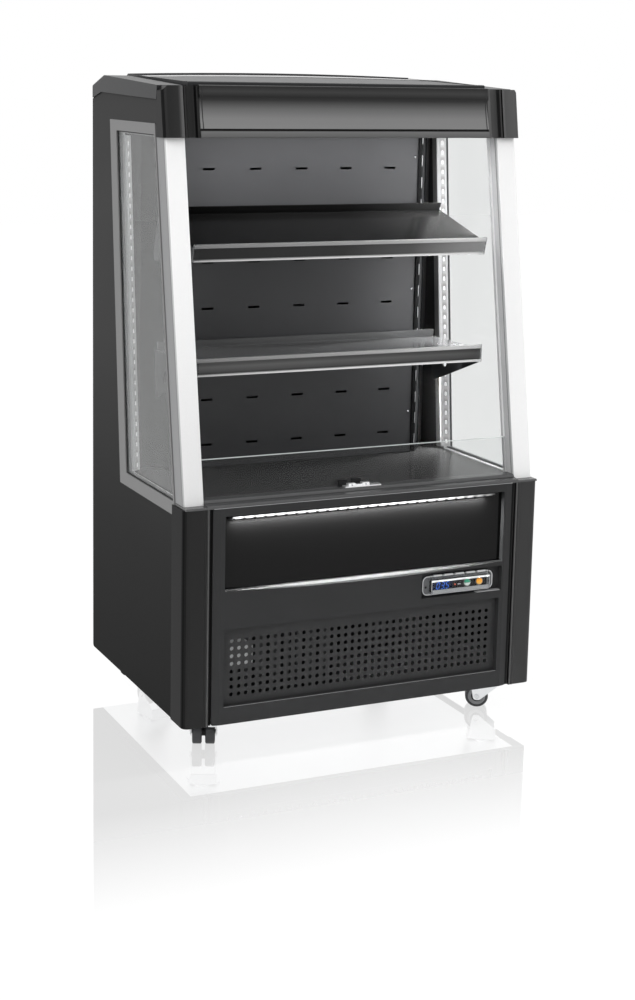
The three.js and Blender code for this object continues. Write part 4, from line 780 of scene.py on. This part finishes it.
def bezel_details():
    low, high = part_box("controller_bezel")
    middle = (low.z + high.z) / 2 - 0.003
    ears = [screw(x, middle, low.y) for x in (low.x + 0.0085, high.x - 0.0075)]
    piece("bezel_screws", *merge(ears), "hub", slot="black_steel", smooth=True)
    outer = rounded(low.x, high.x, low.z, high.z, 0.012)
    inner = rounded(low.x + 0.0018, high.x - 0.0018, low.z + 0.0018, high.z - 0.0018, 0.0102)
    lip = ring(outer, inner, low.y - 0.0012, low.y, 1)
    # painted highlight along the bezel's lip
    piece("bezel_lip", *lip, "shine", slot="clear_plastic", bevel=0.3)
    piece("silver_tab", *prism(rounded(0.262, 0.3215, -0.2839, -0.2715, 0.004), 0.29012, 0.2914, 2), "rim",
          slot="satin_aluminium", bevel=0.3)


def hood_details():
    low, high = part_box("controller_cover")
    front, top = low.y, high.z
    x0, x1, r = low.x + 0.001, high.x - 0.001, 0.0003
    # painted highlight along the hood's upper front edge
    edge = bar(x0, x1, front + 0.0001, front + 0.0024, top - 0.0138, top - 0.0098, r)
    piece("hood_edges", *edge, "shine", body="control_cover", slot="clear_plastic", bevel=0.3)
    rims = [bar(x0, x1, front + 0.0002, front + 0.0014, low.z + 0.0002, low.z + 0.0016, r)]
    rims += [bar(x, x + 0.0016, front + 0.0001, front + 0.0016, low.z + 0.001, top - 0.0138, r)
             for x in (low.x + 0.0002, high.x - 0.0018)]
    piece("hood_rims", *merge(rims), "rim", body="control_cover", slot="clear_plastic", bevel=0.2)
    panel = prism(rounded(low.x + 0.003, high.x - 0.003, low.z + 0.0018, low.z + 0.0088, 0.001),
                  front + 0.00025, front + 0.0008, 1)
    piece("hood_frost", *panel, "milky", body="control_cover", slot="clear_plastic")
    profile = [(0.0001, 0), (0.0019, 0), (0.0022, 0.0006), (0.0022, 0.0194), (0.0019, 0.02), (0.0001, 0.02)]
    places = [Matrix.Translation((low.x + 0.008 + k * 0.0266, -0.2759, 0.3345)) for k in range(5)]
    knuckles = [lathe(profile, 20, place @ ALONG_X) for place in places]
    # the knuckles are pale as a painted highlight
    piece("hood_knuckles", *merge(knuckles), "shine", body="control_cover", slot="clear_plastic", smooth=True)


control_unit()
bezel_details()
hood_details()


# ---- shelves: labels and rail ends
HOOK_Y = 0.0626
SHELVES = {"lower": (0.75, 0.0), "upper": (1.041, 16.0)}  # height of the hook axis, and tilt in degrees
RAIL = (-0.2123, -0.2063, 0.013, 0.0495)  # front, back, foot and top about the hook axis
HALF_LABEL = 0.3349


def rail_details(which, height, tilt):
    """Label strip, bright lower line and end pieces of a shelf's rail, tilted with the shelf."""
    at = Matrix.Translation((0, HOOK_Y, height)) @ Matrix.Rotation(math.radians(tilt), 4, "X")
    body = f"shelf_{which}_set"
    front, back, foot, top = RAIL
    label = [(front + 0.0027, foot + 0.0052), (front + 0.0035, foot + 0.0052), (front + 0.0035, top - 0.0082),
             (front + 0.0027, top - 0.0082)]
    piece(f"label_strip_{which}", *prism(label, -HALF_LABEL, HALF_LABEL, 0, at), "label_" + which, body,
          "satin_aluminium")
    edge = rounded(front - 0.0003, front + 0.0008, foot + 0.0002, foot + 0.0036, 0.0004, 3)
    piece(f"rail_line_{which}", *prism(edge, -HALF_LABEL, HALF_LABEL, 0, at), "rail_line", body,
          "satin_aluminium")
    shape = rounded(front - 0.0008, back - 0.0002, foot - 0.0008, top + 0.0008, 0.0018, 4)
    caps = merge([prism(shape, x, x + 0.0125, 0, at) for x in (-0.3368, 0.3243)])
    piece(f"rail_ends_{which}", *caps, "acrylic", body, "clear_plastic", bevel=0.3)


for which, (height, tilt) in SHELVES.items():
    rail_details(which, height, tilt)


# ---- pillars, glass edge and catch
PILLAR_FOOT = (-0.265, 0.5265)  # Y and Z where the pillars' front face starts


def lean_y(z):
    """The pillars' front face at a height."""
    return PILLAR_FOOT[0] + LEAN * (z - PILLAR_FOOT[1])


def leaning(section, z0, z1):
    """A section [x, depth behind the pillars' front] that leans back with the pillars."""
    return [Vector((x, lean_y(z) + d, z)) for z in (z0, z1) for x, d in section], shell(len(section))


def pillar_details():
    strip = [(0.3567, 0.0072), (0.3593, 0.0072), (0.3593, 0.0118), (0.3567, 0.0118), (0.3557, 0.0095)]
    gaskets = [leaning([(side * x, d) for x, d in strip], 0.53, 1.24) for side in SIDES]
    piece("pillar_gaskets", *merge(gaskets), "spacer", slot="grey_anodised")
    half, top = 0.3598, 0.609
    edge = leaning([(-half, 0.0288), (half, 0.0288), (half, 0.0341), (-half, 0.0341)], top - 0.0006,
                   top + 0.0003)
    piece("front_glass_edge", *edge, "edge", slot="clear_glass")


CATCH_FOOT = 0.5332  # where the catch's blocks stand


def catch_details():
    """Two dark blocks on the catch, and its pins."""
    low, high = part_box("blind_catch")
    blocks = [prism(rounded(x0, x1, -0.2445, -0.2375, 0.001, 3), CATCH_FOOT, top, 2)
              for x0, x1, top in ((-0.050, -0.030, 0.5485), (-0.020, 0.001, 0.5500))]
    piece("catch_blocks", *merge(blocks), "moulding", slot="black_moulding", bevel=0.6)
    pins = [screw(x, 0.5412, low.y + 0.0019, 0.0021) for x in (-0.026, 0.006)]
    piece("catch_pins", *merge(pins), "steel", slot="satin_aluminium", smooth=True)


pillar_details()
catch_details()


# ---- castors
TURNS = {"front_left": -22.0, "front_right": 60.0, "rear_left": 12.0, "rear_right": -14.0}  # degrees
WHEEL_RADIUS = 0.025


def castor(place, turn):
    """The twin tyres, light rings and hub of a wheel, and the rivets of its fork."""
    low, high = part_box("castor_wheel_" + place)
    centre = (low + high) / 2
    spin = Matrix.Rotation(math.radians(turn), 4, "Z") @ ALONG_X
    at = Matrix.Translation((centre.x, centre.y, WHEEL_RADIUS)) @ spin
    tyre = [(0.0155, 4.4), (0.022, 3.5), (0.0245, 5), (WHEEL_RADIUS, 7), (WHEEL_RADIUS, 20.5), (0.0243, 22.4),
            (0.0218, 23.5), (0.0190, 23.4), (0.0186, 22.6), (0.0155, 22.6)]
    ring_profile = [(0.0120, 22.2), (0.0190, 22.2), (0.0190, 23.2), (0.0182, 23.9), (0.0148, 23.9),
                    (0.0140, 23.1), (0.0120, 23.1)]
    tyres, rings = ([lathe([(r, s * x * MM) for r, x in profile], segments, at) for s in SIDES]
                    for profile, segments in ((tyre, 56), (ring_profile, 48)))
    half_hub = [(0.009, 0.003), (0.0156, 0.004), (0.0156, 0.020), (0.0150, 0.0228), (0.0045, 0.0238),
                (0.0045, 0.027), (0.0042, 0.0274), (0.0001, 0.0274)]
    hub = lathe([(r, -x) for r, x in reversed(half_hub)] + half_hub, 48, at)
    body = "wheel_" + place
    made = [piece("castor_tyres_" + place, *merge(tyres), "tread", body, "grey_tread", smooth=True),
            piece("castor_rings_" + place, *merge(rings), "ring", body, "grey_tread", smooth=True),
            piece("castor_hub_" + place, *hub, "hub", body, "black_rubber", smooth=True)]
    for p in made:
        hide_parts("castor_wheel_" + place)
    rivet = [(0.0047, 0.0273), (0.0062, 0.0274), (0.006, 0.0282), (0.0047, 0.0284)]
    rivets = [lathe([(r, s * x) for r, x in rivet], 32, at) for s in SIDES]
    piece("fork_rivets_" + place, *merge(rivets), "steel", "fork_" + place, "galvanised_steel", smooth=True)


for place, turn in TURNS.items():
    castor(place, turn)


# ---- rear
REAR_Y = 0.2803  # face of the rear panel and its cover
BACKWARDS = Matrix.Rotation(math.radians(-90), 4, "X")


def rear_screws():
    profile = [(0.0001, 0), (0.0042, 0), (0.0042, 0.0005), (0.0034, 0.0015), (0.0018, 0.0018),
               (0.0016, 0.0008), (0.0001, 0.0008)]
    places = [(x, z) for x in (-0.371, 0.371) for z in (0.095, 0.26, 0.42)]
    places += [(x, z) for x in (-0.36, -0.12, 0.12, 0.36) for z in (0.46, 1.30)]
    heads = [lathe(profile, 20, Matrix.Translation((x, REAR_Y, z)) @ BACKWARDS) for x, z in places]
    piece("rear_screws", *merge(heads), "steel", slot="galvanised_steel", smooth=True)


rear_screws()


# ---- seams, edges, painted highlights and small parts of the casing
FASCIA_FOOT = (-0.166, 1.242)  # Y and Z where the header's fascia starts
# Heights along the fascia, and how far each is hollowed.
FASCIA = [(1.2595, 0.0016), (1.275, 0.0035), (1.3, 0.0048), (1.3155, 0.0041), (1.3225, 0.0002),
          (1.341, 0.0001)]


def fascia_seams():
    """A dark joint near each end of the fascia that follows its hollow."""
    strips = []
    for x in (-0.3225, 0.3235):
        front = [(FASCIA_FOOT[0] + LEAN * (z - FASCIA_FOOT[1]) + d - 0.0003, z) for z, d in FASCIA]
        rear = [(y + 0.0012, z) for y, z in reversed(front)]
        strips.append(prism(front + rear, x - 0.0008, x + 0.0008, 0))
    piece("fascia_seams", *merge(strips), "hub", slot="black_moulding")


LID_HALF, LID_STATIONS = 0.340, 8
LID_CROWN = 0.006
LID_SLOPE = 0.05148
LID_FRONT = (-0.106, 1.3505)  # Y and Z of the lid's front edge
CROWN_START, CROWN_DEPTH = -0.118, 0.3945  # the crown grows from nothing over this depth


def lid_z(x, y):
    """Height of the crowned lid, which is straight between its stations."""
    pitch = 2 * LID_HALF / LID_STATIONS
    station = (x + LID_HALF) / pitch
    low = min(LID_STATIONS - 1, max(0, int(station)))
    rise = [LID_CROWN * (1 - ((-LID_HALF + pitch * k) / LID_HALF) ** 2) for k in (low, low + 1)]
    crown = rise[0] + (rise[1] - rise[0]) * (station - low)
    return LID_FRONT[1] + LID_SLOPE * (y - LID_FRONT[0]) + crown * (y - CROWN_START) / CROWN_DEPTH


def lid_strip(name, x0, x1, y0, y1, material, steps=16, thick=0.0005, bulge=0.0):
    """A band that lies on the lid and follows its crown."""
    vertices, faces = [], []
    for i in range(steps + 1):
        x = x0 + (x1 - x0) * i / steps
        for y, up in ((y0, 0.0), ((y0 + y1) / 2, bulge), (y1, 0.0)):
            vertices += [(x, y, lid_z(x, y) + thick + up), (x, y, lid_z(x, y) - 0.0004)]
    for i in range(steps):
        a, b = 6 * i, 6 * (i + 1)
        faces += [[a, b, b + 2, a + 2], [a + 2, b + 2, b + 4, a + 4], [a + 1, a + 3, b + 3, b + 1],
                  [a + 3, a + 5, b + 5, b + 3], [a, a + 1, b + 1, b], [a + 4, b + 4, b + 5, a + 5]]
    for a in (0, 6 * steps):
        faces += [[a, a + 2, a + 3, a + 1], [a + 2, a + 4, a + 5, a + 3]]
    return piece(name, vertices, faces, material, slot="black_moulding")


def roof_details():
    lid_strip("roof_strip", -0.334, 0.334, 0.122, 0.2125, "roof_strip", thick=0.0004, bulge=0.0003)
    lid_strip("roof_joint", -0.336, 0.336, 0.1185, 0.122, "hub", thick=0.0006)
    for name, x in (("roof_bead_left", -0.3399), ("roof_bead_right", 0.3379)):
        lid_strip(name, x, x + 0.002, -0.104, 0.2135, "hub", steps=2, thick=0.0012, bulge=0.0002)


def scoop_highlight():
    """A painted highlight: a bright crescent along the scooped edge below the gloss panel."""
    half, middle, sag, depth, foot = 0.3182, 0.0025, 0.009, 0.014, 0.353
    vertices, faces, n, rows = [], [], 24, 5
    for i in range(n + 1):
        t = (2 * i / n - 1) * 0.975
        k = (int((t + 1) * 6) if t < 1 else 11) / 6 - 1
        near, far = 1 - k * k, 1 - (k + 1 / 6) ** 2
        span = near + (far - near) * (t - k) * 6
        for j in range(rows):
            a = 0.3 + 0.5 * j / (rows - 1)
            up = 0.0003 + 0.0007 * math.sin(math.pi * j / (rows - 1)) * span
            y, z = FRONT_Y + depth * span * a, foot - sag * span * (1 - a)
            vertices.append((middle + half * t, y - up * 0.54 + 0.0002, z + up * 0.84))
        for a in (0.8, 0.3):
            y, z = FRONT_Y + depth * span * a, foot - sag * span * (1 - a)
            vertices.append((middle + half * t, y + 0.0002, z - 0.0003))
    m = rows + 2
    for i in range(n):
        for j in range(m):
            q = (j + 1) % m
            faces.append([m * i + j, m * i + q, m * (i + 1) + q, m * (i + 1) + j])
    faces += [list(range(m)), [m * n + j for j in range(m)]]
    piece("scoop_highlight", vertices, faces, "scoop", slot="gloss_black", smooth=True)


def thin_lines():
    """Painted highlights: bright lines along the grille and the sill; and a dark joint along the sill's step.
    """
    piece("grille_ledge", *bar(-0.3174, 0.3174, -0.2842, -0.2824, 0.11095, 0.1115), "line",
          slot="satin_aluminium")
    piece("sill_line", *bar(-0.342, 0.342, -0.2842, -0.28335, 0.5216, 0.5226), "line", slot="satin_aluminium")
    piece("sill_joint", *bar(-0.356, 0.356, -0.2686, -0.2660, 0.5300, 0.5308), "hub", slot="black_moulding")


SLOT_PITCH = 0.0485
HALF_SLOT = 0.0122  # half of a slot's length
SLOTS = range(-4, 11)  # counted from the slot that holds the lower shelf


def slot_highlights():
    """Painted highlights: pale strips along the outer edge of each slot of the uprights."""
    strips = []
    for side in SIDES:
        inner, outer = sorted((side * 0.2943, side * 0.2962))
        for k in SLOTS:
            z = SHELVES["lower"][0] + SLOT_PITCH * k
            edge = rounded(inner, outer, z - HALF_SLOT, z + HALF_SLOT, 0.0006, 2)
            strips.append(prism(edge, 0.0598, 0.0604, 1))
    piece("slot_highlights", *merge(strips), "line", slot="satin_aluminium")


WING_ALONG, WING_OUT = Vector((0.5835, 0.8121)), Vector((0.8121, -0.5835))
WING_FOLD, WING_END = Vector((0.2983, 0.0653)), Vector((0.3795, 0.1783))


def wing_linings():
    """Matt sheets on the folded wings of the wall, and the fillers that close the deck behind them."""
    first, last = WING_FOLD + WING_ALONG * MM, WING_END - WING_ALONG * MM
    near, far = WING_OUT * 0.0003, WING_OUT * 0.0007
    sheet = [first + near, last + near, last + far, first + far]
    filler = [(0.3072, 0.0758), (0.3793, 0.0758), (0.3793, 0.1762)]
    liners = [prism([(side * q.x, q.y) for q in sheet], 0.527, 1.277, 2) for side in SIDES]
    fillers = [prism([(side * x, y) for x, y in filler], 0.5218, 0.5261, 2) for side in SIDES]
    piece("wing_linings", *merge(liners), "liner", slot="dark_sheet")
    piece("deck_fillers", *merge(fillers), "deck", slot="dark_sheet", bevel=0.3)
    rivets = [screw(side * 0.281, z, 0.0654, 0.0032) for side in SIDES for z in (0.62, 0.9, 1.195)]
    piece("wall_screws", *merge(rivets), "steel", slot="galvanised_steel", smooth=True)


BOX_Y = -0.2620  # face of the terminal box


def small_parts():
    """Rubber stops under the side panels, and the terminal box behind the grille."""
    stops = [prism(rounded(s * 0.3965 - 0.004, s * 0.3965 + 0.004, 0.078, 0.102, 0.003, 4), 0.0705, 0.0752, 2)
             for s in SIDES]
    piece("panel_stops", *merge(stops), "rubber", slot="black_rubber", bevel=0.8)
    case = prism(rounded(-0.300, -0.246, 0.182, 0.230, 0.004, 4), -0.2575, -0.2222, 1)
    lid = prism(rounded(-0.3005, -0.2455, 0.1815, 0.2305, 0.0045, 4), BOX_Y, -0.2580, 1)
    ribs = [prism(rounded(-0.296 + 0.0088 * k, -0.2935 + 0.0088 * k, 0.186, 0.226, 0.001, 2), -0.2630,
                  -0.2618, 1) for k in range(6)]
    piece("terminal_box", *merge([case, lid] + ribs), "box", slot="foam_liner", bevel=0.5)
    heads = [screw(x, z, BOX_Y, 0.0016) for x, z in ((-0.298, 0.2285), (-0.248, 0.1835))]
    piece("terminal_screws", *merge(heads), "steel", slot="satin_aluminium", smooth=True)


fascia_seams()
roof_details()
scoop_highlight()
thin_lines()
slot_highlights()
wing_linings()
small_parts()
